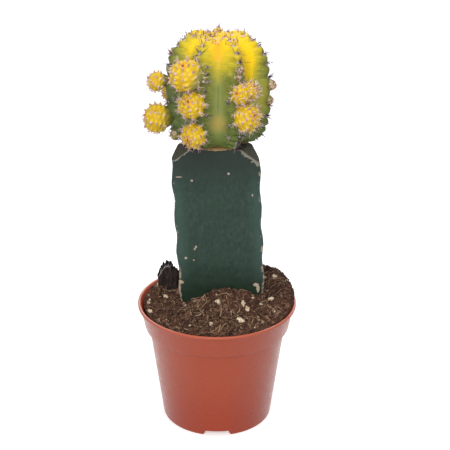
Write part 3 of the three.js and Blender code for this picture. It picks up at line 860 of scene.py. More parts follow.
flank = ball_skin.times(ball_skin.step(across, 0.06, 0.3), ball_skin.step(across, 0.9, 0.5))
stripes = ball_skin.grain(0.42, detail=2, stretch=(0.2, 0.2, 1), rough=0.6)
pale_stripe = ball_skin.times(ball_skin.step(stripes, 0.50, 0.66, 0, 0.42), flank)
dark_stripe = ball_skin.times(ball_skin.step(stripes, 0.48, 0.34, 0, 0.4), flank)
olive = ball_skin.mix(pale_stripe, olive, tint(158, 160, 80))
olive = ball_skin.mix(dark_stripe, olive, tint(72, 84, 36))
crest_shade = ball_skin.step(across, 0.22, 0.02, 0, 0.45)
olive = ball_skin.mix(crest_shade, olive, tint(84, 94, 44))

# painted shade: a dark line in the crease at the bottom of the valleys
painted_crease_shade = ball_skin.times(ball_skin.step(across, 0.968, 0.99), ball_skin.step(level, 149, 146))
painted_crease_shade = ball_skin.times(painted_crease_shade, ball_skin.step(level, 132, 137, 0, 0.75))
olive = ball_skin.mix(painted_crease_shade, olive, tint(70, 82, 44))
tan_patch = ball_skin.spot((0.4, -10.0, 131.0), (2.7, 4.8, 2.9), ragged=0.35, soft=1.9)
olive = ball_skin.mix(ball_skin.times(tan_patch, 0.85), olive, tint(172, 150, 76))

patchy = ball_skin.times(ball_skin.minus(ball_skin.grain(2.5, detail=5), 0.5), 0.3)
streaky = ball_skin.times(ball_skin.minus(stripes, 0.5), ball_skin.times(flank, 0.5))
ripe = ball_skin.sum("ADD", ball_skin.stored("yellow"), ball_skin.sum("ADD", patchy, streaky))
low_gold = ball_skin.spot((15.5, -5.0, 138.5), (5, 5, 8), ragged=0.2, soft=1.4)
olive = ball_skin.mix(ball_skin.times(low_gold, 0.8), olive, tint(186, 176, 66))
lemon = ball_skin.mix(ball_skin.grain(2.2, detail=4), tint(230, 188, 8), tint(240, 202, 26))
in_front = ball_skin.spot((0.4, -9.0, 153.0), (7, 12, 15), ragged=0, soft=0.8)
in_valley = ball_skin.times(ball_skin.step(across, 0.3, 0.95, 0, 0.95), in_front)
lemon = ball_skin.mix(in_valley, lemon, tint(234, 164, 0))
flesh = ball_skin.mix(ball_skin.step(ripe, 0.05, 0.6), olive, tint(190, 170, 34))
flesh = ball_skin.mix(ball_skin.step(ripe, 0.45, 0.95), flesh, lemon)

healed = ball_skin.step(level, ball.base + 1.3, ball.base + 0.5, 0, 0.85)
flesh = ball_skin.mix(healed, flesh, tint(150, 112, 74))
ball_skin.colour(flesh)
ball_skin.gloss(ball_skin.step(ball_skin.grain(1.5, detail=4), 0.3, 0.75, 0.40, 0.56))
ball_skin.relief(stripes, 0.07)
ball_skin.relief(ball_skin.grain(0.8, detail=4), 0.05)

piece("scion_flesh", ball_form(), ball_skin.material, ["scion"])

# %% [markdown]
# Between the ball and the stem the two plants have healed together. The callus is a thin cushion, so a flat
# sphere does, with its rim made uneven. It shows as a pale line under the ball's front.

# %% The callus at the graft
graft = Sizes(left_of_axis=1.2, half=(9.6, 10.9, 0.8), rough=0.35, rough_pitch=1.6)

callus = bmesh.new()
place = Matrix.Translation((ball.axis[0] - graft.left_of_axis, ball.axis[1], ball.base))
flat = place @ Matrix.Diagonal((*graft.half, 1))
bmesh.ops.create_uvsphere(callus, u_segments=120, v_segments=16, radius=1, matrix=flat)
for vert in callus.verts:
    vert.co += graft.rough * noise.noise_vector(vert.co / graft.rough_pitch)
callus_skin = Finish("callus", Roughness=0.7, Specular_IOR_Level=0.2)
callus_skin.colour(callus_skin.mix(callus_skin.grain(0.8, detail=4), tint(196, 164, 118), tint(132, 100, 66)))
callus_skin.relief(callus_skin.grain(0.4, detail=4), 0.1)
piece("graft_callus", callus, callus_skin.material)

# %% [markdown]
# ## The offsets
#
# Each offset is a small ribbed ball on a rib's crest, as wide as its solid. Its ribs are broken into
# tubercles, each with an areole on top. The underside is drawn out towards the rib that it grows from,
# which makes its short neck.

# %% Where the offsets sit
OFFSETS = [  # name, azimuth, height, radius, the crown's azimuth and lift, and how green its shady side is
    ("upper_left", -30, 150.7, 6.5, (-28, 58), 0.9),
    ("outer_left_small", -77, 144.5, 3.9, (-82, 30), 0.2),
    ("outer_left", -77, 130.2, 5.9, (-84, 16), 0.1),
    ("middle_left", -23.6, 140.4, 5.2, (-16, 34), 0.1),
    ("lower_left", -23, 128.5, 4.8, (-28, -4), 0.1),
    ("upper_right", 21.5, 144.2, 3.9, (-30, 22), 0.3),
    ("lower_right", 26.6, 135.4, 5.4, (36, 24), 0.1),
    ("back_right", 137, 146.5, 4.7, (137, 34), 0.3),
    ("back_right_low", 130, 130.5, 4.0, (136, 14), 0.2),
    ("back", 179, 127.3, 3.9, (179, 4), 0.3),
    ("back_left", -131, 134.5, 4.7, (-136, 22), 0.2),
    ("back_left_high", -134, 149.0, 3.4, (-134, 40), 0.4),
]
BUDS = [  # azimuth, height, radius
    (76, 143.0, 2.1), (77, 137.0, 1.7), (-76, 122.7, 2.1), (24, 152.6, 1.5), (22, 149.8, 1.2),
]
offset = Sizes(
    ribs=9, relief=0.06, flatness=0.86, stand_out=0.84, droop=0.25, bud_ribs=5, bud_stand_out=0.1,
    twin=(3.5, 0.8, 1.4), twin_size=0.85, twin_crown=(40, 46),
)


def latitude_at(height):
    """The latitude at which a rib's crest reaches a height."""
    low, high = math.radians(-80), math.radians(80)
    for _ in range(30):
        middle = (low + high) / 2
        if ball_point(ball.first_rib, middle)[0].z < height:
            low = middle
        else:
            high = middle
    return low


def seated(azimuth, height, radius, crown, green, stand_out):
    azimuth = math.radians(azimuth)
    latitude = latitude_at(height)
    seat = ball_point(azimuth, latitude)[0]
    away = outward(azimuth, latitude * offset.droop)
    facing = outward(*map(math.radians, crown)) if crown else away
    return Sizes(centre=seat + away * radius * stand_out, away=away, crown=facing, radius=radius, green=green)


def twin_of(head):
    centre = head.centre + Vector(offset.twin)
    crown = outward(*map(math.radians, offset.twin_crown))
    radius = head.radius * offset.twin_size
    return Sizes(centre=centre, away=head.away, crown=crown, radius=radius, green=head.green)


offset_heads = {}
for name, azimuth, height, radius, crown, green in OFFSETS:
    head = seated(azimuth, height, radius, crown, green, offset.stand_out)
    offset_heads[name] = [head]
offset_heads["upper_right"].append(twin_of(offset_heads["upper_right"][0]))
bud_heads = [seated(*bud, None, 0.5, offset.bud_stand_out) for bud in BUDS]
print("offset heads:", sum(len(heads) for heads in offset_heads.values()), "buds:", len(bud_heads))

# %% [markdown]
# A head's tubercles come from two waves that cross: one round the crown, for the ribs, and one along each
# rib, which is shifted by half a step from rib to rib as on the real plant.

# %% A head with its tubercles
offset.rows = [54, 32, 10, -12, -34]  # latitudes of the areoles, in degrees above the head's equator
offset.row_step = offset.rows[0] - offset.rows[1]
offset.crown_ring = 5
offset.tubercle = 0.09
offset.neck_pull = 0.55
offset.neck_narrow = 0.35
offset.rough = 0.05  # a share of the head's radius, and so is the next
offset.rough_pitch = 0.7
offset.shady_side = Vector((0.86, 0.1, -0.5))


def turn_to(direction):
    return Vector((0, 0, 1)).rotation_difference(direction)


def head_point(head, azimuth, latitude, ribs):
    """A point of a head's surface, and how high it is on a tubercle, from 0 to 1."""
    crest = 0.5 + 0.5 * math.cos(ribs * azimuth)
    level = max(0.0, math.cos(latitude)) ** 0.7
    rib = math.floor(ribs * azimuth / (2 * math.pi) + 0.5) % 2
    row = (math.degrees(latitude) - offset.rows[0]) / offset.row_step + 0.5 * rib
    tubercle = 0.5 + 0.5 * math.cos(2 * math.pi * row)
    relief = 1 + (offset.relief * (crest - 0.85) + offset.tubercle * crest * (tubercle - 0.75)) * level
    point = polar(math.cos(latitude) * relief, azimuth, math.sin(latitude) * offset.flatness * relief)
    point = head.centre + turn_to(head.crown) @ (point * head.radius)
    point += offset.rough * head.radius * noise.noise_vector(point / (offset.rough_pitch * head.radius))
    inward = -(point - head.centre).normalized().dot(head.away)
    neck = smooth(0.55, 1.0, inward)
    aside = (head.centre - point).project(head.away) - (head.centre - point)
    point = point - head.away * head.radius * offset.neck_pull * neck - aside * offset.neck_narrow * neck
    return point, crest * tubercle


def head_form(heads, ribs, around=96, rows=56):
    bm = bmesh.new()
    layers = {name: bm.verts.layers.float.new(name) for name in ("crown", "raised", "neck", "leafy")}
    for head in heads:
        made = bmesh.ops.create_uvsphere(bm, u_segments=around, v_segments=rows, radius=1)
        for vert in made["verts"]:
            latitude = math.asin(max(-1, min(1, vert.co.z)))
            point, raised = head_point(head, azimuth_of(vert.co.x, vert.co.y), latitude, ribs)
            outside = (point - head.centre).normalized()
            vert.co = point
            vert[layers["crown"]] = math.sin(latitude)
            vert[layers["raised"]] = raised
            vert[layers["neck"]] = smooth(0.25, 0.95, outside.dot(-head.away))
            vert[layers["leafy"]] = head.green * smooth(0.05, 0.65, outside.dot(offset.shady_side))
    bmesh.ops.recalc_face_normals(bm, faces=bm.faces)
    return bm


# %% [markdown]
# The offsets are the brightest part of the plant: lemon yellow, orange in the furrows round the crown,
# paler on the tubercles as a painted highlight and darker between them as painted shade, and cream or
# greenish towards the neck, where the head meets the ball and is painted dark, as painted shade.

# %% The offsets' skin
offset_skin = Finish("offset_skin", Roughness=0.45, Specular_IOR_Level=0.25, Subsurface_Weight=0.08)
offset_skin.give(offset_skin.shader, "Subsurface Scale", 1.0 * MM)
crown = offset_skin.stored("crown")
raised = offset_skin.stored("raised")
sunny = offset_skin.mix(offset_skin.grain(1.8, detail=4), tint(212, 172, 10), tint(226, 192, 34))
# painted shade: darker in the hollows between the tubercles
sunny = offset_skin.mix(offset_skin.step(raised, 0.35, 0.02, 0, 0.55), sunny, tint(184, 142, 16))
# painted highlight: paler on the tubercles' tops
sunny = offset_skin.mix(offset_skin.step(raised, 0.6, 0.95, 0, 0.45), sunny, tint(228, 206, 96))
sunny = offset_skin.mix(offset_skin.step(crown, 0.93, 0.995, 0, 0.6), sunny, tint(222, 150, 24))
cream = offset_skin.mix(offset_skin.grain(2.0, detail=3), tint(206, 188, 84), tint(166, 158, 66))
sunny = offset_skin.mix(offset_skin.step(crown, 0.05, -0.7, 0, 0.65), sunny, cream)
tired = offset_skin.step(offset_skin.grain(1.1, detail=4), 0.56, 0.72, 0, 0.4)
sunny = offset_skin.mix(tired, sunny, tint(178, 154, 46))
leafy = offset_skin.mix(offset_skin.grain(1.2, detail=3), tint(112, 122, 74), tint(150, 150, 86))
sunny = offset_skin.mix(offset_skin.stored("leafy"), sunny, leafy)
# painted shade: the neck is painted dark where the head meets the ball
painted_neck_shade = offset_skin.mix(offset_skin.grain(1.5, detail=3), tint(112, 104, 44), tint(74, 78, 40))
offset_skin.colour(offset_skin.mix(offset_skin.stored("neck"), sunny, painted_neck_shade))
offset_skin.relief(offset_skin.grain(0.7, detail=4), 0.06)

for name, heads in offset_heads.items():
    form = head_form(heads, offset.ribs)
    piece(f"{name}_flesh", form, offset_skin.material, [f"offset_{name}"])

bud_skin = Finish("bud_skin", Roughness=0.6)
bud_skin.colour(bud_skin.mix(bud_skin.grain(1.0, detail=4), tint(150, 142, 62), tint(92, 100, 50)))
bud_skin.relief(bud_skin.grain(0.5, detail=4), 0.08)
piece("scion_buds", head_form(bud_heads, offset.bud_ribs, around=40, rows=24), bud_skin.material)

# %% [markdown]
# ## Wool and spines
#
# Every areole carries a small cushion of felt. On the ball it is greyish white, and pinkish at the crown,
# where it is young. On the offsets it is creamy white, and rusty at the crowns. The cushions are little balls
# with an uneven surface. Spines stand out of them in a spread, thin, curved and tapered.

# %% Cushions of wool
wool_random = random.Random(21)


def cushion(wool, place, facing, along, size, young):
    """One cushion, longer along its rib, with its age and a shade of its own."""
    shape = Matrix.Diagonal((size * 0.85, size * 1.15, size * 0.75, 1))
    wool.ball(
        standing(place, facing, along) @ shape, 2,
        lambda point: 0.3 * size * noise.noise_vector(point / (0.5 * size)), young, wool_random.random(),
    )


def tuft(wool, place, facing, along, size, young):
    """An areole's felt: three cushions that run into each other."""
    for k in range(3):
        aside = Quaternion(facing, wool_random.uniform(0, 2 * math.pi)) @ along
        near = place + aside * size * wool_random.uniform(0.15, 0.45)
        cushion(wool, near, facing, along, size * wool_random.uniform(0.5, 0.85), young)


def wool_finish(name, old, fresh, fleck):
    wool = Finish(name, Roughness=0.95, Specular_IOR_Level=0.15)
    felt = wool.mix(wool.grain(0.35, detail=3), old, fleck)
    felt = wool.mix(wool.stored("young"), felt, fresh)
    wool.colour(wool.mix(wool.times(wool.stored("shade"), 0.55), felt, fleck))
    wool.relief(wool.grain(0.2, detail=4), 0.12)
    return wool.material


# %% [markdown]
# On the ball a tuft sits on each areole of a rib's row, unless an offset has grown over it, and more sit
# beside the offsets in front. A tuft is three cushions that run into each other, which looks less like a
# bead than one cushion does.

# %% Wool on the ball
SIDE_TUFTS = [  # azimuth and height of small areoles beside the offsets on the front ribs
    (-15.5, 153.5), (-14.5, 150.6), (-14.0, 147.6), (-16.5, 144.6), (-33, 143.5), (-36, 137.0),
    (-33.5, 133.6), (-37, 130.4), (-14.0, 134.6), (-35, 124.6), (-47, 150.4), (13.0, 139.8),
    (14.5, 130.6), (36.5, 129.8), (38, 141.8), (15.5, 125.2), (33, 125.4), (25, 129.2),
    (24, 123.6), (-68, 138.4), (-70, 147.2), (-66, 125.6),
]
BESIDE = ball.areoles  # the number that stands for an areole beside a rib's row
TOP_TUFTS = [0.7, 0.8, 0.95, 1.0, 0.95]  # mm, half sizes, from the crown down
LOWER_TUFT = 0.75
SIDE_TUFT = 0.55
CROWN_TUFTS = 40


def ball_areoles():
    """Each areole of the ball that nothing has grown from: its place, facing, direction and number."""
    heads = [head for group in offset_heads.values() for head in group]
    for rib in range(ball.ribs):
        azimuth = ball.first_rib + 2 * math.pi * rib / ball.ribs
        for i in range(ball.areoles):
            latitude = math.radians(ball.areole_top - ball.areole_step * i)
            place, facing = ball_facing(azimuth, latitude)
            covered = any((place - head.centre).length < head.radius * 0.95 for head in heads)
            if place.z > ball.base + 1.5 and not covered:
                above = ball_point(azimuth, latitude + 0.03)[0]
                facing = (facing + 0.8 * outward(azimuth, latitude)).normalized()
                yield place, facing, (above - place).normalized(), i
    for degrees, height in SIDE_TUFTS:
        place, facing = ball_facing(math.radians(degrees), latitude_at(height))
        yield place, facing, Vector((0, 0, 1)).cross(facing).cross(facing).normalized(), BESIDE


def tuft_size(i):
    if i == BESIDE:
        return SIDE_TUFT
    return TOP_TUFTS[i] if i < len(TOP_TUFTS) else LOWER_TUFT


areoles = list(ball_areoles())
wool = Gathering("young", "shade")
for place, facing, along, i in areoles:
    tuft(wool, place + facing * 0.1, facing, along, tuft_size(i), smooth(4.0, 0.5, i))
for _ in range(CROWN_TUFTS):  # small and single, all over the crown
    azimuth = wool_random.uniform(0, 2 * math.pi)
    place, facing = ball_facing(azimuth, math.radians(wool_random.uniform(64, 90)))
    cushion(wool, place + facing * 0.2, facing, outward(azimuth, 0), wool_random.uniform(0.25, 0.5), 1.0)
ball_wool = wool_finish("ball_wool", tint(206, 198, 196), tint(238, 206, 190), tint(128, 108, 112))
piece("scion_wool", wool.shape(), ball_wool)
print("areoles on the ball:", len(areoles))

# %% [markdown]
# On the offsets the cushions are smaller and close together. The same walk round each head gives the places
# for the cushions and for the spines. The buds are covered with tiny ones.

# %% Wool on the offsets and the buds
BARE_NECK = 0.55  # areoles that face the ball more squarely than this, on a scale to 1, are left out
BUD_TUFTS = 16  # for a bud of 1 mm radius


def head_areoles(heads, ribs):
    """Each areole of the heads: its head, place, facing and age, from 1 at the crown to 0 lower down."""
    for head in heads:
        others = [other for other in heads if other is not head]
        angles = [(0, 90, 1.0)]
        angles += [(k / offset.crown_ring, 72, 0.5) for k in range(offset.crown_ring)]
        for rib in range(ribs):
            lower = 0.5 * offset.row_step if rib % 2 else 0
            angles += [(rib / ribs, degrees - lower, 0.0) for degrees in offset.rows]
        for turn, degrees, young in angles:
            azimuth = 2 * math.pi * turn + wool_random.uniform(-0.1, 0.1)
            latitude = math.radians(min(90, degrees + wool_random.uniform(-3, 3)))
            place, _ = head_point(head, azimuth, latitude, ribs)
            facing = (place - head.centre).normalized()
            hidden = any((place - other.centre).length < other.radius * 0.9 for other in others)
            if facing.dot(head.away) > -BARE_NECK and not hidden:
                yield head, place, facing, young


offset_areoles = [areole for heads in offset_heads.values() for areole in head_areoles(heads, offset.ribs)]
wool = Gathering("young", "shade")
for head, place, facing, young in offset_areoles:
    size = (0.18 + 0.045 * head.radius) * wool_random.uniform(0.6, 1.35) * (1 - 0.25 * young)
    cushion(wool, place + facing * 0.12, facing, facing.orthogonal(), size, young * young)
for head in bud_heads:
    for _ in range(int(BUD_TUFTS * head.radius**2)):
        facing = Vector([wool_random.gauss(0, 1) for _ in range(3)]).normalized()
        if facing.dot(head.away) > -0.2:
            place = head.centre + facing * head.radius * 0.95
            cushion(wool, place, facing, facing.orthogonal(), wool_random.uniform(0.22, 0.42), 0.1)
offset_wool = wool_finish("offset_wool", tint(248, 238, 232), tint(158, 74, 44), tint(176, 122, 104))
piece("offset_wool", wool.shape(), offset_wool)
print("areoles on the offsets:", len(offset_areoles))

# %% [markdown]
# The spines are short, thin and a little curved. On the ball most are dark, with a purple tinge at the
# crown, where they are young, and some are pale. On the offsets most are pale, and they stand in small
# bundles. A spine's shade picks its colour from a ramp later on.

# %% A spine
SPINE_TAPER = [(-0.08, 1.0), (0.3, 0.85), (0.65, 0.6), (1.0, 0.15)]  # share of the length, of the radius
spine_random = random.Random(8)


def spine(root, direction, length, radius, bend):
    """A curved, tapered path from a root."""
    path = []
    for share, taper in SPINE_TAPER:
        path.append((root + direction * length * share + bend * length * max(0, share) ** 2, radius * taper))
    return path


def spread(facing, turn, lean):
    """A direction that leans away from the way an areole faces."""
    sideways = Quaternion(facing, turn) @ facing.orthogonal().normalized()
    return (facing * math.cos(lean) + sideways * math.sin(lean)).normalized()


# %% [markdown]
# Each areole of the ball has 8 spines, or 14 half way down the ribs, and more stand by themselves on the
# crown. They could be hairs of a particle system, but strands made into meshes are exported as they are seen.

# %% Spines on the ball
FULL_BUNDLES = range(4, 9)  # the areoles half way down each rib
BUNDLE, FULL_BUNDLE = 8, 14  # spines
YOUNG_AREOLES = 2  # on each rib
PURPLE, SIDE_SHADES, DARK = (0.55, 1.0), (0.0, 0.4), (0.1, 0.75)  # shades
CROWN_SPINES = 120


def shades_of(i, k):
    if i < YOUNG_AREOLES and k % 3:
        return PURPLE
    return SIDE_SHADES if i == BESIDE else DARK


ball_spines, ball_shades = [], []
for place, facing, along, i in areoles:
    for k in range(FULL_BUNDLE if i in FULL_BUNDLES else BUNDLE):
        direction = spread(facing, spine_random.uniform(0, 6.28), spine_random.uniform(0.2, 1.25))
        length = spine_random.uniform(1.6, 2.8) if i < YOUNG_AREOLES else spine_random.uniform(2.0, 4.6)
        length *= 0.6 if i == BESIDE else 1
        bend = Vector([spine_random.uniform(-0.25, 0.25) for _ in range(3)])
        radius = spine_random.uniform(0.11, 0.16) * (0.7 if i <= YOUNG_AREOLES else 1)
        ball_spines.append(spine(place, direction, length, radius, bend))
        ball_shades.append(spine_random.uniform(*shades_of(i, k)))
for _ in range(CROWN_SPINES):
    azimuth = spine_random.uniform(0, 2 * math.pi)
    place, facing = ball_facing(azimuth, math.radians(spine_random.uniform(60, 90)))
    direction = spread((facing + Vector((0, 0, 1))).normalized(), spine_random.uniform(0, 6.28),
                       spine_random.uniform(0, 0.6))
    bend = Vector([spine_random.uniform(-0.3, 0.3) for _ in range(3)])
    ball_spines.append(spine(place, direction, spine_random.uniform(1.2, 2.6), 0.085, bend))
    ball_shades.append(spine_random.choice((0.05, 0.6, 0.8, 1.0)))

print("spines on the ball:", len(ball_spines))

# %% [markdown]
# The offsets' spines are finer and shorter, seven to an areole, and bend a little towards the head's crown. A
# bud has no areoles of its own here, so its spines fan out from its middle.

# %% Spines on the offsets and the buds
OFFSET_BUNDLE, BUD_SPINES = 7, 20

offset_spines, offset_shades = [], []
for head, place, facing, young in offset_areoles:
    for _ in range(OFFSET_BUNDLE):
        direction = spread(facing, spine_random.uniform(0, 6.28), spine_random.uniform(0.2, 1.25))
        length = spine_random.uniform(1.0, 2.3) * (0.8 if head.radius < 4.2 else 1)
        bend = head.crown * 0.2 + Vector([spine_random.uniform(-0.2, 0.2) for _ in range(3)])
        offset_spines.append(spine(place, direction, length, spine_random.uniform(0.05, 0.085), bend))
        offset_shades.append(0.8 if young > 0.9 else spine_random.random() ** 1.3)
for head in bud_heads:
    for _ in range(BUD_SPINES):
        direction = spread(head.away, spine_random.uniform(0, 6.28), spine_random.uniform(0.1, 1.3))
        root = head.centre + direction * head.radius * 0.8
        offset_spines.append(spine(root, direction, spine_random.uniform(1.0, 2.0), 0.075, direction * 0))
        offset_shades.append(spine_random.random())

print("spines on the offsets and the buds:", len(offset_spines))

# %% [markdown]
# A spine is smooth, slightly glossy horn. A material for every colour would be many, so one serves the whole
# ball and one all the offsets: the shade stored on each spine picks its colour from a ramp.

# %% The spines' finish
spine_finish = Finish("spine_horn", Roughness=0.5, Specular_IOR_Level=0.3)
spine_finish.colour(spine_finish.ramp(
    spine_finish.stored("shade"),
    (0.0, tint(196, 180, 176)), (0.2, tint(110, 96, 98)), (0.4, tint(56, 45, 50)), (0.7, tint(96, 44, 72)),
    (1.0, tint(124, 44, 56)),
))
strands("scion_spines", ball_spines, ball_shades, spine_finish.material)

young_spine = Finish("young_spine_horn", Roughness=0.5, Specular_IOR_Level=0.3)
young_spine.colour(young_spine.ramp(
    young_spine.stored("shade"),
    (0.0, tint(250, 238, 228)), (0.4, tint(224, 186, 170)), (0.65, tint(122, 76, 82)),
    (1.0, tint(78, 40, 48)),
))
strands("offset_spines", offset_spines, offset_shades, young_spine.material)

# %% [markdown]
# ## The soil
#
# The pot is filled with coconut fibre, peat and perlite. The bed is low in front, banked up a little at the
# left, rises round the stem and is heaped over the rim at the back right. The bed itself is a lathe shape
# whose top is lifted to that height. Loose crumbs, chips, fibres and white perlite lie on it, because the eye
# reads soil by its single grains.

# %% The height of the soil
soil = Sizes(
    edge_level=49.5, edge_radius=29.7, mound=10.5, mound_reach=17.5, mound_x=5.5, mound_y=2.5,
    heap=6.2, heap_azimuth=112, heap_width=54, heap_from=16, heap_full=28, heap_spill=2.2,
    bank=2.6, bank_azimuth=-108, bank_width=45, bank_from=20,
    clod=1.2, clod_pitch=5, rough=0.25, rough_pitch=1.1, around=190, rings=70,
)


def heap_share(azimuth):
    off = (math.degrees(azimuth) - soil.heap_azimuth + 180) % 360 - 180
    return math.exp(-((off / soil.heap_width) ** 2))


def soil_height(x, y):
    from_mound = math.hypot(x - soil.mound_x, y - soil.mound_y) / soil.mound_reach
    mound = soil.mound * math.exp(-(from_mound**2))
    radius, azimuth = math.hypot(x, y), azimuth_of(x, y)
    heap = soil.heap * heap_share(azimuth) * smooth(soil.heap_from, soil.heap_full, radius)
    bank = soil.bank * math.exp(-(((math.degrees(azimuth) - soil.bank_azimuth) / soil.bank_width) ** 2))
    return soil.edge_level + mound + heap + bank * smooth(soil.bank_from, soil.edge_radius, radius)


def soil_edge(azimuth):
    return soil.edge_radius + 0.3 + soil.heap_spill * heap_share(azimuth)


def soil_surface(x, y):
    """The soil's height with its clods. It rounds off at the rim, most where it is heaped."""
    azimuth = azimuth_of(x, y)
    edge = soil_edge(azimuth)
    drop = (1.0 + 2.2 * heap_share(azimuth)) * smooth(edge - 3, edge, math.hypot(x, y)) ** 3
    place = Vector((x, y, 0))
    clods = soil_height(x, y) + soil.clod * uneven(place, soil.clod_pitch, 4)
    return clods + soil.rough * uneven(place, soil.rough_pitch, 2) - drop


def soil_bed():
    bm = bmesh.new()
    under = [(0, 3.0), (21.0, 3.0), (26.5, 40), (28.4, 43), (soil.edge_radius - 0.4, soil.edge_level - 2.5)]
    top = [(soil.edge_radius * (1 - i / soil.rings), soil.edge_level) for i in range(soil.rings + 1)]
    wire = [bm.verts.new((radius, 0, z)) for radius, z in under + top]
    for pair in zip(wire, wire[1:]):
        bm.edges.new(pair)
    bmesh.ops.spin(bm, geom=bm.verts[:] + bm.edges[:], axis=(0, 0, 1), cent=(0, 0, 0), angle=2 * math.pi,
                   steps=soil.around, use_merge=True)
    bmesh.ops.remove_doubles(bm, verts=bm.verts, dist=SAME_PLACE)
    for vert in bm.verts:
        if vert.co.z > soil.edge_level - 1:
            wider = soil_edge(azimuth_of(vert.co.x, vert.co.y)) / soil.edge_radius
            x, y = vert.co.x * wider, vert.co.y * wider
            vert.co = (x, y, soil_surface(x, y))
    bmesh.ops.recalc_face_normals(bm, faces=bm.faces)
    return bm


# %% [markdown]
# Moist peat is dark and quite dull, and dries paler on its high spots. One noise gives both the colour and
# the relief of the bed, so that its pale spots are also its high ones. Crumbs and fibres pick their browns
# with the shades stored on them. Perlite is off-white, stained in places, and full of small holes.

# %% The soil's finish
bed_finish = Finish("soil_bed", Roughness=1.0, Specular_IOR_Level=0.1)
bed_grain = bed_finish.grain(1.0, detail=6, rough=0.7)
bed_finish.colour(bed_finish.ramp(
    bed_grain,
    (0.3, tint(34, 23, 19)), (0.48, tint(72, 50, 41)), (0.62, tint(106, 76, 60)), (0.78, tint(140, 102, 78)),
))
bed_finish.relief(bed_grain, 0.6)
piece("soil_bed", soil_bed(), bed_finish.material, ["soil"])

crumb_finish = Finish("soil_crumbs", Roughness=0.95, Specular_IOR_Level=0.15)
browns = crumb_finish.ramp(
    crumb_finish.stored("shade"), (0.0, tint(36, 25, 22)), (0.3, tint(68, 47, 40)), (0.55, tint(106, 74, 58)),
    (0.8, tint(134, 98, 78)), (1.0, tint(172, 144, 122)),
)
flecked = crumb_finish.step(crumb_finish.grain(0.5, detail=4), 0.4, 0.65, 0, 0.7)
crumb_finish.colour(crumb_finish.mix(flecked, browns, tint(54, 38, 32)))
crumb_finish.relief(crumb_finish.grain(0.4, detail=4), 0.2)

fibre_finish = Finish("coconut_fibre", Roughness=0.7, Specular_IOR_Level=0.2)
fibre_finish.colour(fibre_finish.ramp(
    fibre_finish.stored("shade"),
    (0.0, tint(54, 36, 29)), (0.5, tint(108, 74, 53)), (0.8, tint(150, 114, 86)), (1.0, tint(200, 172, 138)),
))

perlite_finish = Finish("perlite", Roughness=0.85, Specular_IOR_Level=0.2)
perlite_finish.colour(perlite_finish.ramp(
    perlite_finish.grain(0.7, detail=4),
    (0.32, tint(140, 114, 92)), (0.46, tint(190, 168, 140)), (0.62, tint(214, 198, 172)),
    (0.8, tint(230, 220, 200)),
))
perlite_finish.relief(perlite_finish.cells(0.5), 0.12)

# %% [markdown]
# Crumbs are scattered evenly over the bed wherever the stem doesn't stand. Each is a small ball pulled out
# of shape, turned at random and half sunk. A shade of its own, stored on its points, keeps neighbours apart.

# %% Crumbs and chips
soil_random = random.Random(4)


def beside_stem(x, y, clearance):
    """How far a place on the soil is outside the stem, less a clearance."""
    z = soil_height(x, y)
    centre_x, centre_y = stock_axis(z)
    azimuth = azimuth_of(x - centre_x, y - centre_y)
    return math.hypot(x - centre_x, y - centre_y) - stock_radius(azimuth, z)[0] - clearance


def free_place(clearance, inset):
    """A random place on the soil, at a clearance from the stem and inset from the edge."""
    while True:
        azimuth = soil_random.uniform(-math.pi, math.pi)
        radius = (soil_edge(azimuth) - inset) * math.sqrt(soil_random.random())
        place = polar(radius, azimuth, 0)
        if beside_stem(place.x, place.y, clearance) > 0:
            place.z = soil_surface(place.x, place.y)
            return place


def lump(grains, place, size, flat, kneaded, detail, *values):
    """A ball pulled out of shape and turned at random."""
    turn = Quaternion([soil_random.gauss(0, 1) for _ in range(4)]).normalized().to_matrix().to_4x4()
    shape = Matrix.Diagonal((size, size * soil_random.uniform(0.5, 1), size * flat, 1))
    grains.ball(
        Matrix.Translation(place) @ turn @ shape, detail,
        lambda point: size * kneaded * noise.noise_vector(point * 1.7 / size), *values,
    )


def any_shade(middle, spread_of_shades):
    return min(1, max(0, soil_random.gauss(middle, spread_of_shades)))


CRUMB_KINDS = [  # how many, smallest and largest half size in mm, and the middle of their shades
    (3600, 0.2, 0.5, 0.42),
    (1000, 0.4, 0.85, 0.5),
    (120, 0.8, 1.5, 0.48),
]
crumbs = Gathering("shade")
for count, smallest, largest, middle in CRUMB_KINDS:
    for _ in range(count):
        size = soil_random.uniform(smallest, largest)
        place = free_place(0.2 + 0.5 * smallest, 0.2 + smallest)
        place.z += 0.25 * size
        # painted shade: crumbs on the heap behind the stem are painted darker, where the stem shades them
        painted_heap_shade = 0.4 * heap_share(azimuth_of(place.x, place.y)) * smooth(-12, 2, place.y)
        patch = middle - 0.08 + 0.38 * uneven(place, 5, 2) - painted_heap_shade
        lump(crumbs, place, size, soil_random.uniform(0.25, 0.7), 0.6, 1, any_shade(patch, 0.26))
piece("soil_crumbs", crumbs.shape(), crumb_finish.material, sharp=50)

# %% [markdown]
# Short brown coconut fibres hold such a soil open. Six long ones lie where the photograph shows them. The
# others start at random places and wander over the soil in short steps, which looks more natural than one
# smooth arc, and turn away at the rim and at the stem.

# %% Fibres
FIBRES = 1600
FIBRE_STEPS = 7


def fibre(start, length, heading, radius, lift):
    """A strand that wanders over the soil, arching a little off it."""
    path = []
    drift = soil_random.uniform(-0.5, 0.5)
    x, y = start.x, start.y
    for i in range(FIBRE_STEPS + 1):
        share = i / FIBRE_STEPS
        height = soil_surface(x, y)
        arch = lift * math.sin(math.pi * share)
        path.append((Vector((x, y, height + 0.15 + arch)), radius * (1 - 0.45 * share)))
        heading += drift + soil_random.uniform(-0.35, 0.35)
        step = length / FIBRE_STEPS
        next_x, next_y = x + step * math.cos(heading), y + step * math.sin(heading)
        outside = math.hypot(next_x, next_y) > soil_edge(azimuth_of(next_x, next_y)) - 0.8
        if outside or beside_stem(next_x, next_y, 0.3) < 0:
            heading += math.pi * 0.6
            next_x, next_y = x + step * math.cos(heading), y + step * math.sin(heading)
        x, y = next_x, next_y
    return path


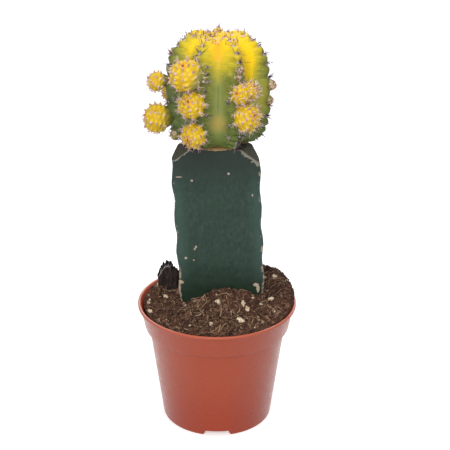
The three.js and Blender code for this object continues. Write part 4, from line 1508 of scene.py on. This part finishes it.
LONG_FIBRES = [  # from (x, y) to (x, y) in mm: the ones that show best from the front
    ((-4.9, -4.9), (-5.8, -8.2)), ((1.2, -11.9), (1.7, -19.8)), ((-0.4, -27.9), (2.0, -22.7)),
    ((8.0, -16.3), (9.6, -13.8)), ((13.4, -21.8), (14.7, -19.9)), ((-24.5, 1.5), (-21.0, 5.5)),
]
fibres, fibre_shades = [], []
for (x0, y0), (x1, y1) in LONG_FIBRES:
    path = []
    for i in range(FIBRE_STEPS + 1):
        share = i / FIBRE_STEPS
        x = x0 + (x1 - x0) * share + 0.35 * math.sin(5 * share)
        y = y0 + (y1 - y0) * share
        path.append((Vector((x, y, soil_surface(x, y) + 0.35 + 0.8 * math.sin(math.pi * share))), 0.15))
    fibres.append(path)
    fibre_shades.append(0.9)
for _ in range(FIBRES):
    start = free_place(0.5, 1.2)
    length = soil_random.uniform(2.0, 8)
    radius = soil_random.uniform(0.04, 0.1)
    fibres.append(fibre(start, length, soil_random.uniform(0, 6.28), radius, soil_random.uniform(0.0, 1.3)))
    fibre_shades.append(any_shade(0.4, 0.36))
strands("soil_fibres", fibres, fibre_shades, fibre_finish.material)

# %% [markdown]
# Perlite is volcanic glass that was heated until it foamed. Its grains are the brightest spots in the soil,
# so the larger ones in front lie where the photograph shows them, and the others are scattered. They are
# made as the crumbs are, but rounder and smoother.

# %% Perlite
PERLITE = [  # x, y and half size in mm, as they lie in front; the rest are scattered
    (0.4, -11.0, 1.3), (10.5, -11.8, 1.1), (12.1, -13.6, 1.2), (9.4, -20.0, 1.6), (21.9, -7.2, 1.3),
    (-2.4, -21.8, 1.0), (-21.2, 3.4, 1.2), (-28.0, -3.4, 0.9), (-27.0, -10.4, 1.0), (17.8, -10.0, 0.75),
    (14.6, -7.0, 0.6), (-0.2, -6.6, 0.6), (-10.7, -22.4, 0.55), (5.5, -14.9, 0.5), (22.9, -14.8, 0.6),
]
PERLITE_BITS = 60  # each less than 0.7 mm across
PERLITE_GRAINS = 24
grains = Gathering()
for x, y, size in PERLITE:
    place = Vector((x, y, soil_surface(x, y) + 0.4 * size))
    lump(grains, place, size * 1.1, 0.62, 0.38, 3)
for _ in range(PERLITE_BITS):
    place = free_place(0.6, 0.8)
    lump(grains, place, soil_random.uniform(0.15, 0.32), 0.7, 0.3, 1)
for _ in range(PERLITE_GRAINS):
    place = free_place(1.0, 2.0)
    size = soil_random.uniform(0.25, 0.55) if place.y < 0 else soil_random.uniform(0.5, 1.3)
    place.z += 0.35 * size
    lump(grains, place, size, 0.62, 0.38, 3)
piece("perlite", grains.shape(), perlite_finish.material, sharp=40)

# %% [markdown]
# ## The bark flake
#
# Left of the stem a flake of bark stands upright in the soil. It is almost black and split along its grain.
# Its outline is pushed out to a thin slab, which is then cut into fine rows and roughened along the grain.

# %% The bark flake
bark = Sizes(
    x=-20.7, y=12, turn=math.radians(-14), thickness=4.4, sunk=3, rows_apart=0.55, thinning=0.45, rough=0.9,
    jag=2.3,
)
bark_outline = [
    (-3.0, 0), (-3.4, 5.6), (-4.0, 8.6), (-3.4, 10.2), (-2.5, 11.4), (-2.1, 13.2), (-1.1, 12.5), (-0.4, 14.5),
    (0.5, 13.4), (1.4, 14.6), (2.0, 12.2), (3.1, 11.6), (4.9, 10.6), (4.6, 0),
]


def bark_flake():
    bm = bmesh.new()
    outline = [bm.verts.new((x, -bark.thickness / 2, z)) for x, z in bark_outline]
    front = bm.faces.new(outline)
    pushed = bmesh.ops.extrude_face_region(bm, geom=[front])
    moved = [part for part in pushed["geom"] if isinstance(part, bmesh.types.BMVert)]
    bmesh.ops.translate(bm, verts=moved, vec=(0, bark.thickness, 0))
    for axis, extent in (((1, 0, 0), 5), ((0, 1, 0), 3), ((0, 0, 1), 16)):
        at = -extent if axis[2] == 0 else 0.4
        while at < extent:
            place = Vector(axis) * at
            bmesh.ops.bisect_plane(bm, geom=bm.verts[:] + bm.edges[:] + bm.faces[:], dist=SAME_PLACE,
                                   plane_co=place, plane_no=axis)
            at += bark.rows_apart
    bmesh.ops.triangulate(bm, faces=bm.faces)
    bmesh.ops.recalc_face_normals(bm, faces=bm.faces)
    top = max(z for _, z in bark_outline)
    foot = soil_height(bark.x, bark.y) - bark.sunk
    for vert in bm.verts:
        grain = Vector((vert.co.x * 1.6, vert.co.y * 1.6, vert.co.z * 0.28))
        vert.co.y *= 1 - bark.thinning * vert.co.z / top
        vert.co += bark.rough * Vector((noise.noise(grain), noise.noise(grain + Vector((9, 0, 0))), 0))
        jag = bark.jag * noise.noise(Vector((vert.co.x * 2, vert.co.y * 2, 3)))
        vert.co.z += jag * smooth(4, top, vert.co.z)
    bmesh.ops.rotate(bm, cent=(0, 0, 0), matrix=Matrix.Rotation(bark.turn, 3, "Z"), verts=bm.verts)
    bmesh.ops.translate(bm, verts=bm.verts, vec=(bark.x, bark.y, foot))
    return bm


bark_finish = Finish("bark", Roughness=0.85, Specular_IOR_Level=0.25)
ridges = bark_finish.grain(0.9, detail=5, stretch=(1, 1, 0.18), rough=0.65)
bark_finish.colour(bark_finish.ramp(
    ridges,
    (0.3, tint(18, 14, 14)), (0.55, tint(40, 30, 27)), (0.7, tint(74, 58, 50)), (0.85, tint(150, 132, 116)),
))
bark_finish.relief(ridges, 0.5)
piece("bark_flake", bark_flake(), bark_finish.material, ["bark_piece"])

# %% [markdown]
# Where the flake was torn, at its upper left, pale fibres stick out. They are strands like the soil's, with
# their roots just inside the flake, because fibres as fine as these can't be cut from the slab.

# %% Torn fibres on the bark
TORN_FIBRES = 16

torn = []
for i in range(TORN_FIBRES):
    share = i / (TORN_FIBRES - 1)
    low = Vector((bark.x - 3.7 + 4.6 * share, bark.y - 2.0, 57.0 + 4.4 * math.sin(1.9 * share)))
    lean = Vector((soil_random.uniform(0.1, 0.9), soil_random.uniform(-0.3, 0.2), 1)).normalized()
    high = low + lean * soil_random.uniform(1.0, 2.4)
    torn.append([(low.lerp(high, k / 4), 0.13 * (1 - 0.2 * k)) for k in range(5)])
torn_finish = Finish("torn_bark", Roughness=0.9, Specular_IOR_Level=0.15)
torn_finish.colour(torn_finish.mix(torn_finish.grain(0.5, detail=3), tint(206, 202, 198), tint(92, 84, 80)))
strands("bark_fibres", torn, [1.0] * len(torn), torn_finish.material)
